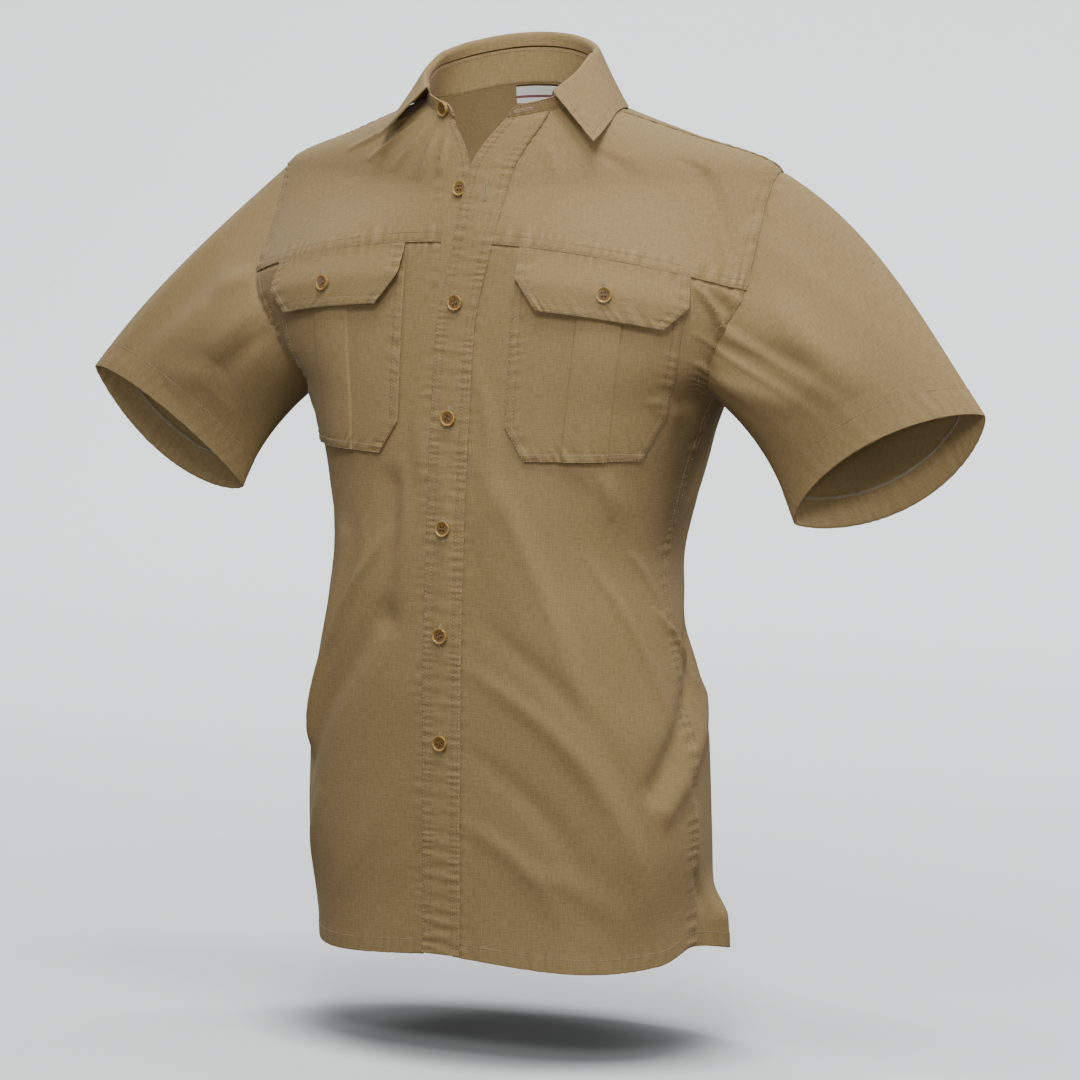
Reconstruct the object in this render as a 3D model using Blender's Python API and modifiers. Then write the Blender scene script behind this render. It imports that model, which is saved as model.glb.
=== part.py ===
"""A short-sleeved button-down shirt, filled out as it is worn, with nobody in it.

Metres, +Z up. The origin is the middle of the neck, level with the top of the shoulders.
The front faces -Y and the wearer's left is +X. Every cloth piece is a wall placed on one
body surface, read by turn (degrees round the body, 0 at the centre front and 90 at the
wearer's left side) and by level (height on the centre front).
"""
import math

import bmesh
import bpy
import numpy as np
from mathutils import Matrix, Vector

CLOTH_WALL = 0.0015
COLLAR_WALL = 0.0016
LABEL_WALL = 0.0010
SEAM_GAP = 0.0003
LAYER_GAP = 0.0005

# Levels of the lines that the pieces are cut to
ARMPIT_LEVEL = -0.262
YOKE_LEVEL = -0.124
SHOULDER_LEVEL = -0.078
NECK_LEVEL = -0.025

# The body of the shirt, one ring a row. Level is the height at the centre front, side_z and
# back_z the heights at the side and the centre back, and square how boxy the ring is.
RING_COLUMNS = ("level", "side_z", "back_z", "half_width", "front_y", "side_y", "back_y", "square")
BODY_RINGS = (
    (-0.760, -0.760, -0.760, 0.172, -0.117, 0.014, 0.160, 0.03),
    (-0.690, -0.690, -0.690, 0.172, -0.120, 0.009, 0.150, 0.03),
    (-0.620, -0.620, -0.620, 0.177, -0.125, -0.003, 0.124, 0.03),
    (-0.540, -0.540, -0.540, 0.175, -0.130, -0.009, 0.112, 0.03),
    (-0.490, -0.490, -0.490, 0.167, -0.133, -0.013, 0.106, 0.03),
    (-0.440, -0.440, -0.440, 0.157, -0.135, -0.020, 0.093, 0.03),
    (-0.385, -0.385, -0.385, 0.149, -0.136, -0.020, 0.097, 0.03),
    (-0.330, -0.328, -0.330, 0.159, -0.136, -0.018, 0.102, 0.03),
    (-0.300, -0.292, -0.297, 0.168, -0.136, -0.017, 0.103, 0.03),
    (-0.262, -0.244, -0.250, 0.187, -0.135, -0.014, 0.104, 0.02),
    (-0.200, -0.213, -0.188, 0.224, -0.132, -0.012, 0.107, 0.01),
    (-0.127, -0.164, -0.116, 0.247, -0.126, -0.008, 0.106, 0.00),
    (-0.078, -0.056, -0.050, 0.228, -0.116, 0.004, 0.086, -0.10),
    (-0.052, -0.028, -0.014, 0.155, -0.110, -0.015, 0.052, -0.06),
    (-0.025, -0.003, 0.013, 0.078, -0.102, -0.036, 0.012, 0.00),
)

# How the shirt hangs on its right side: how much wider it is there, and how much lower
HANG_COLUMNS = ("level", "wider", "lower")
RIGHT_HANG = (
    (-0.760, -0.008, 0.000),
    (-0.640, 0.000, 0.000),
    (-0.262, 0.000, 0.000),
    (-0.200, 0.007, 0.000),
    (-0.127, 0.014, 0.003),
    (-0.078, 0.012, 0.006),
    (-0.025, 0.000, 0.000),
)

# The largest folds: soft ridges (height above 0) and troughs, each along a straight line
FOLD_COLUMNS = ("turn", "level", "end_turn", "end_level", "width", "height")
BODY_FOLDS = (
    (16.0, -0.345, 60.0, -0.663, 0.028, 0.0030),
    (112.0, -0.430, 66.0, -0.571, 0.013, -0.0055),
    (110.0, -0.500, 72.0, -0.590, 0.012, 0.0040),
    (59.0, -0.140, 69.0, -0.200, 0.010, -0.0035),
    (-18.0, -0.330, -20.0, -0.440, 0.013, -0.0035),
    (-20.0, -0.440, -57.0, -0.573, 0.014, -0.0040),
    (-46.0, -0.378, -56.0, -0.545, 0.016, 0.0040),
    (104.0, -0.720, 102.0, -0.690, 0.024, 0.0180),
    (150.0, -0.300, 122.0, -0.450, 0.020, -0.0040),
    (205.0, -0.290, 236.0, -0.440, 0.020, -0.0040),
    (176.0, -0.480, 168.0, -0.690, 0.030, 0.0040),
)
FOLD_RADIUS = 0.165

# The hem, from the centre front to the centre back
HEM_COLUMNS = ("turn", "level")
HEM_LINE = (
    (0.0, -0.719),
    (40.0, -0.727),
    (70.0, -0.722),
    (90.0, -0.710),
    (110.0, -0.718),
    (140.0, -0.728),
    (180.0, -0.735),
)

# The front opening: how far round from the centre the free edge of each band lies
OPENING_COLUMNS = ("level", "left_edge", "right_edge")
FRONT_OPENING = (
    (-0.760, -0.0175, 0.0110),
    (-0.200, -0.0170, 0.0110),
    (-0.126, -0.0070, 0.0090),
    (-0.086, -0.0020, 0.0035),
    (-0.064, 0.0020, -0.0005),
    (-0.045, 0.0110, -0.0090),
    (-0.025, 0.0260, -0.0260),
)
BAND_WIDTH = 0.035
BAND_LAP = 0.006
UNDER_BAND = 0.0283
ROLL_COLUMNS = ("level", "lift")
BAND_ROLL = (
    (-0.760, 0.000),
    (-0.135, 0.000),
    (-0.105, 0.002),
    (-0.080, 0.004),
    (-0.050, 0.006),
    (-0.025, 0.006),
)

# Armholes, as degrees round the body to each side of the side seam
ARMHOLE_FRONT = 27.0
ARMHOLE_BACK = 25.0
ARMHOLE_STEPS = 30
YOKE_STEP = 5

# Sleeve hems
SLEEVE_TOP = (0.425, -0.014, -0.248)
SLEEVE_LOW = (0.264, -0.022, -0.345)
SLEEVE_DEPTH = 0.074
SLEEVE_FORWARD = 0.10
SLEEVE_DROOP = 0.007
SLEEVE_PINCH = 0.5
SLEEVE_SPREAD = 0.25
SLEEVE_SLOPE_TOP = {1: 26.0, -1: 40.0}
SLEEVE_SLOPE_LOW = 32.0
CUFF_SLOPE_TOP = 53.0
CUFF_SLOPE_LOW = 70.0
SLEEVE_ROWS = 8

SHOULDER_SEAM_LEAD = 12.0

# Width of the narrow cells along a seam, as a share of a full cell
EDGE_CELL = 0.08


def column(table, names, name, at):
    """Read a column of a table at any value of its first one, on a smooth curve.

    The curve runs flat through a highest or lowest row, so it never swings past its rows.
    """
    knots = np.array([row[0] for row in table])
    values = np.array([row[names.index(name)] for row in table])
    rates = np.diff(values) / np.diff(knots)
    same_way = rates[:-1] * rates[1:] > 0
    total = np.where(same_way, rates[:-1] + rates[1:], 1.0)
    inner = np.where(same_way, 2 * rates[:-1] * rates[1:] / total, 0.0)
    slopes = np.concatenate([rates[:1], inner, rates[-1:]])
    at = np.clip(np.asarray(at, float), knots[0], knots[-1])
    low = np.clip(np.searchsorted(knots, at) - 1, 0, len(knots) - 2)
    span = knots[low + 1] - knots[low]
    t = (at - knots[low]) / span
    start = (1 + 2 * t) * (1 - t) ** 2 * values[low] + t * (1 - t) ** 2 * span * slopes[low]
    end = t * t * (3 - 2 * t) * values[low + 1] - t * t * (1 - t) * span * slopes[low + 1]
    return start + end


def unit(vectors):
    """Scale each vector to length one."""
    return vectors / np.maximum(np.linalg.norm(vectors, axis=-1, keepdims=True), 1e-12)


def body_shape(turn, level):
    """Points of the smooth body surface."""
    turn = np.radians(turn)
    ring = {name: column(BODY_RINGS, RING_COLUMNS, name, level) for name in RING_COLUMNS[1:]}
    square = ring["square"]
    fore = np.cos(turn) > 0
    depth = np.where(fore, ring["side_y"] - ring["front_y"], ring["back_y"] - ring["side_y"])
    end_z = np.where(fore, level, ring["back_z"])
    right = np.sin(turn) < 0
    hang = np.where(right, np.sin(turn) ** 2, 0.0)
    half_width = ring["half_width"] + hang * column(RIGHT_HANG, HANG_COLUMNS, "wider", level)
    x = half_width * (np.sin(turn) + square * np.sin(3 * turn)) / (1 - square)
    y = ring["side_y"] - depth * (np.cos(turn) - square * np.cos(3 * turn)) / (1 - square)
    side_z = ring["side_z"] - hang * column(RIGHT_HANG, HANG_COLUMNS, "lower", level)
    z = end_z * np.cos(turn) ** 2 + side_z * np.sin(turn) ** 2
    return np.stack([x, y, z], axis=-1)


def body_normal(turn, level):
    """Outward directions of the smooth body surface."""
    low = np.clip(level - 0.001, BODY_RINGS[0][0], NECK_LEVEL - 0.002)
    across = body_shape(turn + 0.5, level) - body_shape(turn - 0.5, level)
    up = body_shape(turn, low + 0.002) - body_shape(turn, low)
    return unit(np.cross(across, up))


def fold_height(turn, level):
    """How far the folds push the cloth out at a point."""
    turn = np.where(turn < -130.0, turn + 360.0, np.where(turn > 250.0, turn - 360.0, turn))
    height = np.zeros(np.broadcast(turn, level).shape)
    metre = np.radians(FOLD_RADIUS)
    for start_turn, start, end_turn, end, width, peak in BODY_FOLDS:
        run = np.array([(end_turn - start_turn) * metre, end - start])
        way_x = (turn - start_turn) * metre
        way_z = level - start
        along = np.clip((way_x * run[0] + way_z * run[1]) / (run @ run), 0.0, 1.0)
        away = (way_x - along * run[0]) ** 2 + (way_z - along * run[1]) ** 2
        height = height + peak * np.exp(-away / width ** 2)
    return height


def body(turn, level, out=0.0):
    """Points of the shirt's body, moved out from its wall's middle by a distance."""
    turn = np.asarray(turn, float)
    level = np.asarray(level, float)
    out = np.asarray(out, float) + fold_height(turn, level)
    return body_shape(turn, level) + body_normal(turn, level) * out[..., None]


def turn_at(level, round_front):
    """Turn of the point that lies a distance round the body from the centre front."""
    level = np.asarray(level, float)
    turns = np.linspace(0.0, 100.0, 51)
    ring = body_shape(turns[None, :], level.reshape(-1, 1))
    steps = np.linalg.norm(np.diff(ring, axis=1), axis=2)
    walked = np.concatenate([np.zeros((len(steps), 1)), np.cumsum(steps, axis=1)], axis=1)
    distance = (np.asarray(round_front, float) + np.zeros(level.shape)).reshape(-1)
    turn = [np.sign(d) * np.interp(abs(d), w, turns) for d, w in zip(distance, walked)]
    return np.array(turn).reshape(level.shape)


def hem_level(turn):
    """Level of the hem at a turn."""
    return column(HEM_LINE, HEM_COLUMNS, "level", np.abs(turn))


def armhole_level(around):
    """Level of an armhole point, around it from 0 at the shoulder to 180 at the armpit."""
    drop = (1 + np.cos(np.radians(around))) / 2
    return ARMPIT_LEVEL + (SHOULDER_LEVEL - ARMPIT_LEVEL) * drop


def armhole_turn(around):
    """Turn of an armhole point, the front ones at 0 to 180 and the back ones at 180 to 360."""
    sine = np.sin(np.radians(around))
    return 90.0 - np.where(sine > 0, ARMHOLE_FRONT, ARMHOLE_BACK) * sine


def seam_turn(level):
    """Half a seam's gap as a turn at the side."""
    depth, front, square = (column(BODY_RINGS, RING_COLUMNS, name, level)
                            for name in ("side_y", "front_y", "square"))
    return np.degrees(SEAM_GAP / 2 * (1 - square) / (1 + 3 * square) / (depth - front))


parts = bpy.data.collections.new("shirt")


def start_scene():
    """Clear the scene and add the shirt's collection."""
    for thing in list(bpy.data.objects):
        bpy.data.objects.remove(thing, do_unlink=True)
    bpy.context.scene.collection.children.link(parts)


def finish(name, colour, roughness):
    """A plain coloured material."""
    material = bpy.data.materials.new(name)
    material.use_nodes = True
    shader = material.node_tree.nodes["Principled BSDF"]
    shader.inputs["Base Color"].default_value = (*colour, 1.0)
    shader.inputs["Roughness"].default_value = roughness
    shader.inputs["Metallic"].default_value = 0.0
    material.diffuse_color = (*colour, 1.0)
    return material


def lines(count, first, last):
    """Where a piece's grid lines lie, with a narrow cell along an edge that meets a seam."""
    places = list(range(count + 1))
    if first:
        places.insert(1, EDGE_CELL)
    if last:
        places.insert(len(places) - 1, count - EDGE_CELL)
    return np.array(places) / count


def sheet(name, across, along, place, edges="", wall=CLOTH_WALL, colour=(0.27, 0.19, 0.09)):
    """A wall of cloth: a grid laid on the shape that place gives, then thickened.

    Edges names the sides of the grid that meet a seam: s and e start and end each row, b and
    t are the bottom and top rows.
    """
    u_lines = lines(across, "s" in edges, "e" in edges)
    v_lines = lines(along, "b" in edges, "t" in edges)
    mesh = bpy.data.meshes.new(name)
    grid = bmesh.new()
    bmesh.ops.create_grid(grid, x_segments=len(u_lines) - 1, y_segments=len(v_lines) - 1, size=0.5)
    cells = np.array([vert.co[:2] for vert in grid.verts]) + 0.5
    u = u_lines[np.rint(cells[:, 0] * (len(u_lines) - 1)).astype(int)]
    v = v_lines[np.rint(cells[:, 1] * (len(v_lines) - 1)).astype(int)]
    for vert, point in zip(grid.verts, place(u, v)):
        vert.co = Vector(point)
    bmesh.ops.remove_doubles(grid, verts=grid.verts, dist=0.00005)
    grid.to_mesh(mesh)
    grid.free()
    mesh.shade_smooth()
    piece = bpy.data.objects.new(name, mesh)
    parts.objects.link(piece)
    mesh.materials.append(finish(name, colour, 0.85))
    thicken = piece.modifiers.new("wall", "SOLIDIFY")
    thicken.thickness = wall
    thicken.offset = 0.0
    thicken.use_even_offset = True
    return piece


# Rows of cells up each body piece
LOW_ROWS = 10
ROW_CROWDING = 1.4
YOKE_ROWS = 5
STEP_ANGLE = 360.0 / ARMHOLE_STEPS
LOWER_STEPS = ARMHOLE_STEPS // 2 - YOKE_STEP
BAND_ROWS = LOW_ROWS + LOWER_STEPS + YOKE_STEP + YOKE_ROWS


def lower_rows(v):
    """Rise from hem to armpit, then the armhole angle up to the yoke, for a lower panel."""
    row = np.minimum(v, 1.0) * (LOW_ROWS + LOWER_STEPS)
    rise = 1.0 - (1.0 - np.clip(row / LOW_ROWS, 0.0, 1.0)) ** ROW_CROWDING
    around = 180.0 - STEP_ANGLE * np.maximum(row - LOW_ROWS, 0.0)
    return rise, around


def upper_rows(v):
    """Armhole angle from the yoke to the shoulder, then the way along to the neck."""
    row = v * (YOKE_STEP + YOKE_ROWS)
    around = STEP_ANGLE * np.clip(YOKE_STEP - row, 0.0, YOKE_STEP)
    along = np.clip((row - YOKE_STEP) / YOKE_ROWS, 0.0, 1.0)
    return around, along


def lower_level(turn, rise, around):
    """Level of a point of a lower panel, from its hem up to the yoke seam."""
    low = hem_level(turn)
    level = np.where(rise < 1.0, low + (ARMPIT_LEVEL - low) * rise, armhole_level(around))
    return np.minimum(level, YOKE_LEVEL - SEAM_GAP / 2)


def upper_level(around, along):
    """Level of a point of a yoke, from the yoke seam up to the neck."""
    level = armhole_level(around) + (NECK_LEVEL - SHOULDER_LEVEL) * along
    return np.maximum(level, YOKE_LEVEL + SEAM_GAP / 2)


def opening(name, level):
    """How far round the front a band's free edge lies."""
    return column(FRONT_OPENING, OPENING_COLUMNS, name, level)


def panel_start(side, level):
    """How far from the centre front a front panel starts, towards its own side."""
    if side > 0:
        return opening("left_edge", level) + BAND_WIDTH - BAND_LAP
    return UNDER_BAND - opening("right_edge", level) + SEAM_GAP


def front_panel(side):
    """Shape of a lower front."""
    def place(u, v):
        rise, around = lower_rows(v)
        level = lower_level(0.0, rise, around)
        start = turn_at(level, panel_start(side, level))
        end = np.minimum(armhole_turn(around), 90.0 - seam_turn(level))
        turn = start + (end - start) * u
        return body(side * turn, lower_level(turn, rise, around))
    return place


def front_yoke(side):
    """Shape of a front yoke."""
    def place(u, v):
        around, along = upper_rows(v)
        level = upper_level(around, along)
        start = turn_at(level, panel_start(side, level))
        seam = 90.0 - seam_turn(level) - SHOULDER_SEAM_LEAD * along
        end = np.minimum(armhole_turn(around), seam)
        return body(side * (start + (end - start) * u), level)
    return place


def back_panel(u, v):
    """Shape of the lower back."""
    rise, around = lower_rows(v)
    level = lower_level(90.0, rise, around)
    start = np.maximum(armhole_turn(360.0 - around), 90.0 + seam_turn(level))
    turn = start + (360.0 - 2 * start) * u
    folded = np.where(turn > 180.0, 360.0 - turn, turn)
    return body(turn, lower_level(folded, rise, around))


def back_yoke(u, v):
    """Shape of the back yoke, which reaches over the shoulders to the forward seams."""
    around, along = upper_rows(v)
    level = upper_level(around, along)
    seam = 90.0 + seam_turn(level) - SHOULDER_SEAM_LEAD * along
    start = np.maximum(armhole_turn(360.0 - around), seam)
    start = np.where(along > 0.0, seam, start)
    return body(start + (360.0 - 2 * start) * u, level)


def between(start, end, start_way, end_way, t):
    """A smooth curve from one point to another, leaving and arriving along given ways."""
    t = t[..., None]
    return ((1 + 2 * t) * (1 - t) ** 2 * start + t * (1 - t) ** 2 * start_way
            + t * t * (3 - 2 * t) * end - t * t * (1 - t) * end_way)


def sleeve_hem(around):
    """Points of the left sleeve's hem, a pinched oval standing off the arm line."""
    top = np.array(SLEEVE_TOP)
    low = np.array(SLEEVE_LOW)
    middle = (top + low) / 2
    half = (top - low) / 2
    down = unit(np.array([half[2], -SLEEVE_FORWARD, -half[0]]))
    deep = unit(np.cross(half, down)) * SLEEVE_DEPTH / 2
    deep = deep * -np.sign(deep[1])
    angle = np.radians(around)[..., None]
    droop = down * SLEEVE_DROOP * np.sin(angle) ** 2
    pinched = np.sin(angle) * np.abs(np.sin(angle)) ** SLEEVE_PINCH
    return middle + half * np.cos(angle) + deep * pinched + droop


def sleeve_start(side, around):
    """Start of a sleeve, as on the left: points just clear of the armhole, and the way out."""
    mirror = np.array([side, 1.0, 1.0])
    edge, after, before = (body(side * armhole_turn(at), armhole_level(at)) * mirror
                           for at in (around, around + 1.0, around - 1.0))
    run = unit(after - before)
    out = body_normal(side * armhole_turn(around), armhole_level(around)) * mirror
    inward = unit(np.cross(out, run))
    angle = np.radians(around)
    top = SLEEVE_SLOPE_TOP[side]
    slope = np.radians(top + (SLEEVE_SLOPE_LOW - top) * (1 - np.cos(angle)) / 2)
    way = unit(np.stack([np.cos(slope), -SLEEVE_SPREAD * np.sin(angle), -np.sin(slope)], axis=-1))
    across = unit(np.cross(run, way))
    clear = SEAM_GAP + CLOTH_WALL / 2 * np.abs(np.sum(across * inward, axis=-1))
    return edge + inward * clear[..., None], way


def sleeve(side):
    """Shape of a sleeve, from just outside the armhole to its hem."""
    def place(u, v):
        around = 360.0 * u
        start, way = sleeve_start(side, around)
        end = sleeve_hem(around)
        reach = np.linalg.norm(end - start, axis=-1, keepdims=True)
        angle = np.radians(around)
        slope = np.radians(CUFF_SLOPE_TOP + (CUFF_SLOPE_LOW - CUFF_SLOPE_TOP) * (1 - np.cos(angle)) / 2)
        arrive = np.stack([np.cos(slope), 0 * slope, -np.sin(slope)], axis=-1)
        points = between(start, end, way * reach, arrive * reach, v)
        return points * np.array([side, 1.0, 1.0])
    return place


# Pocket and flap, measured round the front and down from the yoke seam
POCKET_TOP = -0.143
POCKET_FOOT = -0.303
POCKET_INNER = (0.052, 0.050)
POCKET_OUTER = (0.196, 0.183)
POCKET_CHAMFER = 0.018
PLEAT_INNER = (0.109, 0.098)
PLEAT_WIDTH = 0.039
PLEAT_RAISE = 0.0020
BAND_OUT = CLOTH_WALL + LAYER_GAP
POCKET_OUT = CLOTH_WALL + 0.0012
FLAP_INNER = 0.054
FLAP_OUTER = 0.198
FLAP_DROP = 0.051
FLAP_CHAMFER = 0.020
FLAP_CAUGHT = CLOTH_WALL + 0.0004
FLAP_CLEAR = 0.0082
FLAP_STAND = 0.0020

# Collar: how the stand rises from the neckline and where the fold and the fall's edge lie
COLLAR_COLUMNS = ("turn", "stand_up", "fold_up", "fold_out", "edge_turn", "edge_out", "edge_up")
COLLAR = (
    (46.0, 0.013, 0.018, 0.0030, 60.0, 0.040, -0.029),
    (60.0, 0.019, 0.026, 0.0000, 73.0, 0.029, -0.014),
    (75.0, 0.025, 0.034, -0.0070, 83.0, 0.023, -0.006),
    (90.0, 0.029, 0.040, -0.0110, 94.0, 0.021, -0.003),
    (130.0, 0.031, 0.043, -0.0075, 130.0, 0.020, -0.004),
    (180.0, 0.031, 0.043, -0.0010, 180.0, 0.021, -0.005),
)
STAND_END = (0.0265, 0.0265)
FOLD_WIDTH = 0.0052

BUTTON_RADIUS = 0.0066
BUTTON_THICK = 0.0030
BUTTON_RIM = 0.0016
BUTTON_DISH = 0.0007
BUTTON_1_ARC = -0.0075
FRONT_BUTTONS = (-0.0800, -0.1742, -0.2695, -0.3610, -0.4500, -0.5400)
POCKET_BUTTON = (0.130, 0.030)
STAND_BUTTON = (0.974, 0.55)

LABEL_WIDTH = 0.045
LABEL_TOP = -0.0290
LABEL_FOOT = -0.0385


def band(side):
    """Shape of a buttonhole band (side 1), laid over the front, or of the button band."""
    def place(u, v):
        row = v * BAND_ROWS
        rise, around = lower_rows(row / (LOW_ROWS + LOWER_STEPS))
        low = lower_level(0.0, rise, around)
        around, along = upper_rows((row - LOW_ROWS - LOWER_STEPS) / (YOKE_STEP + YOKE_ROWS))
        level = np.where(row > LOW_ROWS + LOWER_STEPS, upper_level(around, along), low)
        if side > 0:
            across = opening("left_edge", level) + BAND_WIDTH * u
            roll = column(BAND_ROLL, ROLL_COLUMNS, "lift", level) * (1.0 - u)
            return body(turn_at(level, across), level, BAND_OUT + roll)
        across = opening("right_edge", level) - UNDER_BAND * (1 - u)
        return body(turn_at(level, across), level)
    return place


def spread(u, stations):
    """Read a list of stations at even steps along it."""
    return np.interp(u, np.linspace(0.0, 1.0, len(stations)), stations)


def pocket(side):
    """Shape of a pocket: cut corners at its foot and a raised pleat down its middle."""
    columns = np.array([0.0, 0.33, 0.66, 0.98, 1.02, 1.34, 1.66, 1.98, 2.02, 2.25, 2.5, 2.75, 3.0])

    def place(u, v):
        station = spread(u, columns)
        fall = spread(v, np.array([1.0, 0.92, 0.83, 0.66, 0.50, 0.34, 0.17, 0.0]))
        cut = np.clip((fall - 0.83) / 0.17, 0.0, 1.0) * POCKET_CHAMFER
        level = POCKET_TOP + (POCKET_FOOT - POCKET_TOP) * fall
        inner = POCKET_INNER[0] + (POCKET_INNER[1] - POCKET_INNER[0]) * fall + cut
        outer = POCKET_OUTER[0] + (POCKET_OUTER[1] - POCKET_OUTER[0]) * fall - cut
        pleat = PLEAT_INNER[0] + (PLEAT_INNER[1] - PLEAT_INNER[0]) * fall
        across = np.where(station < 1.0, inner + (pleat - inner) * station,
                          pleat + PLEAT_WIDTH * (station - 1.0))
        across = np.where(station > 2.0, outer + (pleat + PLEAT_WIDTH - outer) * (3.0 - station), across)
        raised = (station > 1.0) & (station < 2.0)
        out = POCKET_OUT + np.where(raised, PLEAT_RAISE, 0.0)
        return body(side * turn_at(level, across), level, out)
    return place


def flap(side):
    """Shape of a pocket flap: caught in the yoke seam, standing off the pocket below."""
    def place(u, v):
        fall = spread(v, np.array([1.0, 0.75, 0.5, 0.32, 0.16, 0.0]))
        cut = np.clip((fall - 0.5) / 0.5, 0.0, 1.0) * FLAP_CHAMFER
        level = YOKE_LEVEL - 2 * SEAM_GAP - FLAP_DROP * fall
        across = FLAP_INNER + cut + (FLAP_OUTER - FLAP_INNER - 2 * cut) * u
        ease = np.clip(fall / 0.32, 0.0, 1.0)
        ease = ease * ease * (3 - 2 * ease)
        out = FLAP_CAUGHT + (FLAP_CLEAR - FLAP_CAUGHT) * ease + FLAP_STAND * fall
        return body(side * turn_at(level, across), level, out)
    return place


def neckline(turn):
    """Points of the neckline, and the level outward direction at each."""
    point = body(turn, np.full(np.shape(turn), NECK_LEVEL))
    ahead = body_shape(turn + 0.5, NECK_LEVEL) - body_shape(turn - 0.5, NECK_LEVEL)
    outward = unit(np.stack([ahead[..., 1], -ahead[..., 0], 0 * ahead[..., 0]], axis=-1))
    return point, outward


def collar(name, turn):
    """Read a column of the collar's table, alike on both sides."""
    folded = np.where(turn > 180.0, 360.0 - turn, turn)
    return column(COLLAR, COLLAR_COLUMNS, name, folded)


def lifted(turn, out, up):
    """A point out from and above the neckline."""
    point, outward = neckline(turn)
    return point + outward * out[..., None] + np.array([0.0, 0.0, 1.0]) * up[..., None]


def stand(u, v):
    """Shape of the collar stand, from the left front end round to the right one."""
    start = turn_at(NECK_LEVEL, STAND_END[0])
    end = 360.0 - turn_at(NECK_LEVEL, STAND_END[1])
    turn = start + (end - start) * u
    rise = collar("stand_up", turn)
    out = collar("fold_out", turn) * v * rise / collar("fold_up", turn)
    up = CLOTH_WALL / 2 + SEAM_GAP + (rise - CLOTH_WALL) * v
    return lifted(turn, out, up)


def fall(u, v):
    """Shape of the collar fall: up from the stand, over the fold and down to its edge."""
    first = COLLAR[0][0]
    turn = first + (360.0 - 2 * first) * u
    rise = collar("stand_up", turn)
    fold = collar("fold_up", turn)
    lean = collar("fold_out", turn)
    edge_turn = collar("edge_turn", turn)
    edge_turn = np.where(turn > 180.0, 360.0 - edge_turn, edge_turn)
    seam = lifted(turn, lean * rise / fold, rise + 3 * SEAM_GAP)
    inner = lifted(turn, lean, fold - FOLD_WIDTH / 2)
    crest = lifted(turn, lean + FOLD_WIDTH / 2, fold)
    outer = lifted(turn, lean + FOLD_WIDTH, fold - FOLD_WIDTH / 2)
    edge = lifted(edge_turn, collar("edge_out", turn), collar("edge_up", turn))
    stations = (seam, inner, crest, outer, outer + (edge - outer) * 0.33,
                outer + (edge - outer) * 0.67, edge)
    row = np.rint(v * (len(stations) - 1)).astype(int)
    return np.stack(stations)[row, np.arange(len(row))]


def label(u, v):
    """Shape of the neck label, inside the back below the stand."""
    level = LABEL_FOOT + (LABEL_TOP - LABEL_FOOT) * v
    turn = 180.0 + (u - 0.5) * np.degrees(LABEL_WIDTH / 0.070)
    return body(turn, level, -(CLOTH_WALL + LABEL_WALL) / 2 - LAYER_GAP)


def button(name, place, way):
    """A round button with a raised rim, centred on a place and facing a given way."""
    mesh = bpy.data.meshes.new(name)
    disc = bmesh.new()
    bmesh.ops.create_cone(disc, cap_ends=True, segments=16, radius1=BUTTON_RADIUS,
                          radius2=BUTTON_RADIUS, depth=BUTTON_THICK)
    top = max(disc.faces, key=lambda face: face.calc_center_median().z)
    bmesh.ops.inset_individual(disc, faces=[top], thickness=BUTTON_RIM, depth=-BUTTON_DISH)
    disc.to_mesh(mesh)
    disc.free()
    piece = bpy.data.objects.new(name, mesh)
    parts.objects.link(piece)
    mesh.materials.append(finish(name, (0.20, 0.10, 0.03), 0.35))
    piece.location = Vector(place)
    piece.rotation_euler = Vector(way).to_track_quat("Z", "Y").to_euler()
    return piece


start_scene()
UPPER = (0.36, 0.27, 0.15)
for side, name in ((1, "left"), (-1, "right")):
    sheet("front_" + name, 12, LOW_ROWS + LOWER_STEPS, front_panel(side), "set")
    sheet("front_yoke_" + name, 10, YOKE_STEP + YOKE_ROWS, front_yoke(side), "sebt", colour=UPPER)
    sheet("sleeve_" + name, ARMHOLE_STEPS, SLEEVE_ROWS, sleeve(side), "b")
    sheet("placket_" + name, 3, BAND_ROWS, band(side), "t")
    sheet("pocket_" + name, 12, 7, pocket(side))
    sheet("flap_" + name, 10, 5, flap(side))
sheet("back", 18, LOW_ROWS + LOWER_STEPS, back_panel, "set")
sheet("back_yoke", 20, YOKE_STEP + YOKE_ROWS, back_yoke, "sebt", colour=UPPER)
sheet("collar_stand", 30, 3, stand, "bt", wall=COLLAR_WALL)
sheet("collar_leaf", 30, 6, fall, wall=COLLAR_WALL, colour=UPPER)
sheet("neck_label", 3, 1, label, wall=LABEL_WALL, colour=(0.75, 0.74, 0.70))
rest = (CLOTH_WALL + BUTTON_THICK) / 2 + LAYER_GAP
turn = turn_at(FRONT_BUTTONS[0], BUTTON_1_ARC)
button("button_front_1", body(turn, FRONT_BUTTONS[0], rest), body_normal(turn, FRONT_BUTTONS[0]))
for number, level in enumerate(FRONT_BUTTONS[1:], start=2):
    button("button_front_%d" % number, body(0.0, level, BAND_OUT + rest), body_normal(0.0, level))
flap_level = YOKE_LEVEL - POCKET_BUTTON[1]
for side, name in ((1, "left"), (-1, "right")):
    turn = side * turn_at(flap_level, POCKET_BUTTON[0])
    raised = FLAP_CLEAR + FLAP_STAND * POCKET_BUTTON[1] / FLAP_DROP
    place = body(turn, flap_level, raised + rest)
    button("button_pocket_" + name, place, body_normal(turn, flap_level))
spot, beside, above = stand(STAND_BUTTON[0] + np.array([0.0, 0.01, 0.0]),
                            STAND_BUTTON[1] + np.array([0.0, 0.0, 0.1]))
way = unit(np.cross(beside - spot, above - spot))
button("button_stand", spot + way * ((COLLAR_WALL + BUTTON_THICK) / 2 + LAYER_GAP), way)
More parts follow.
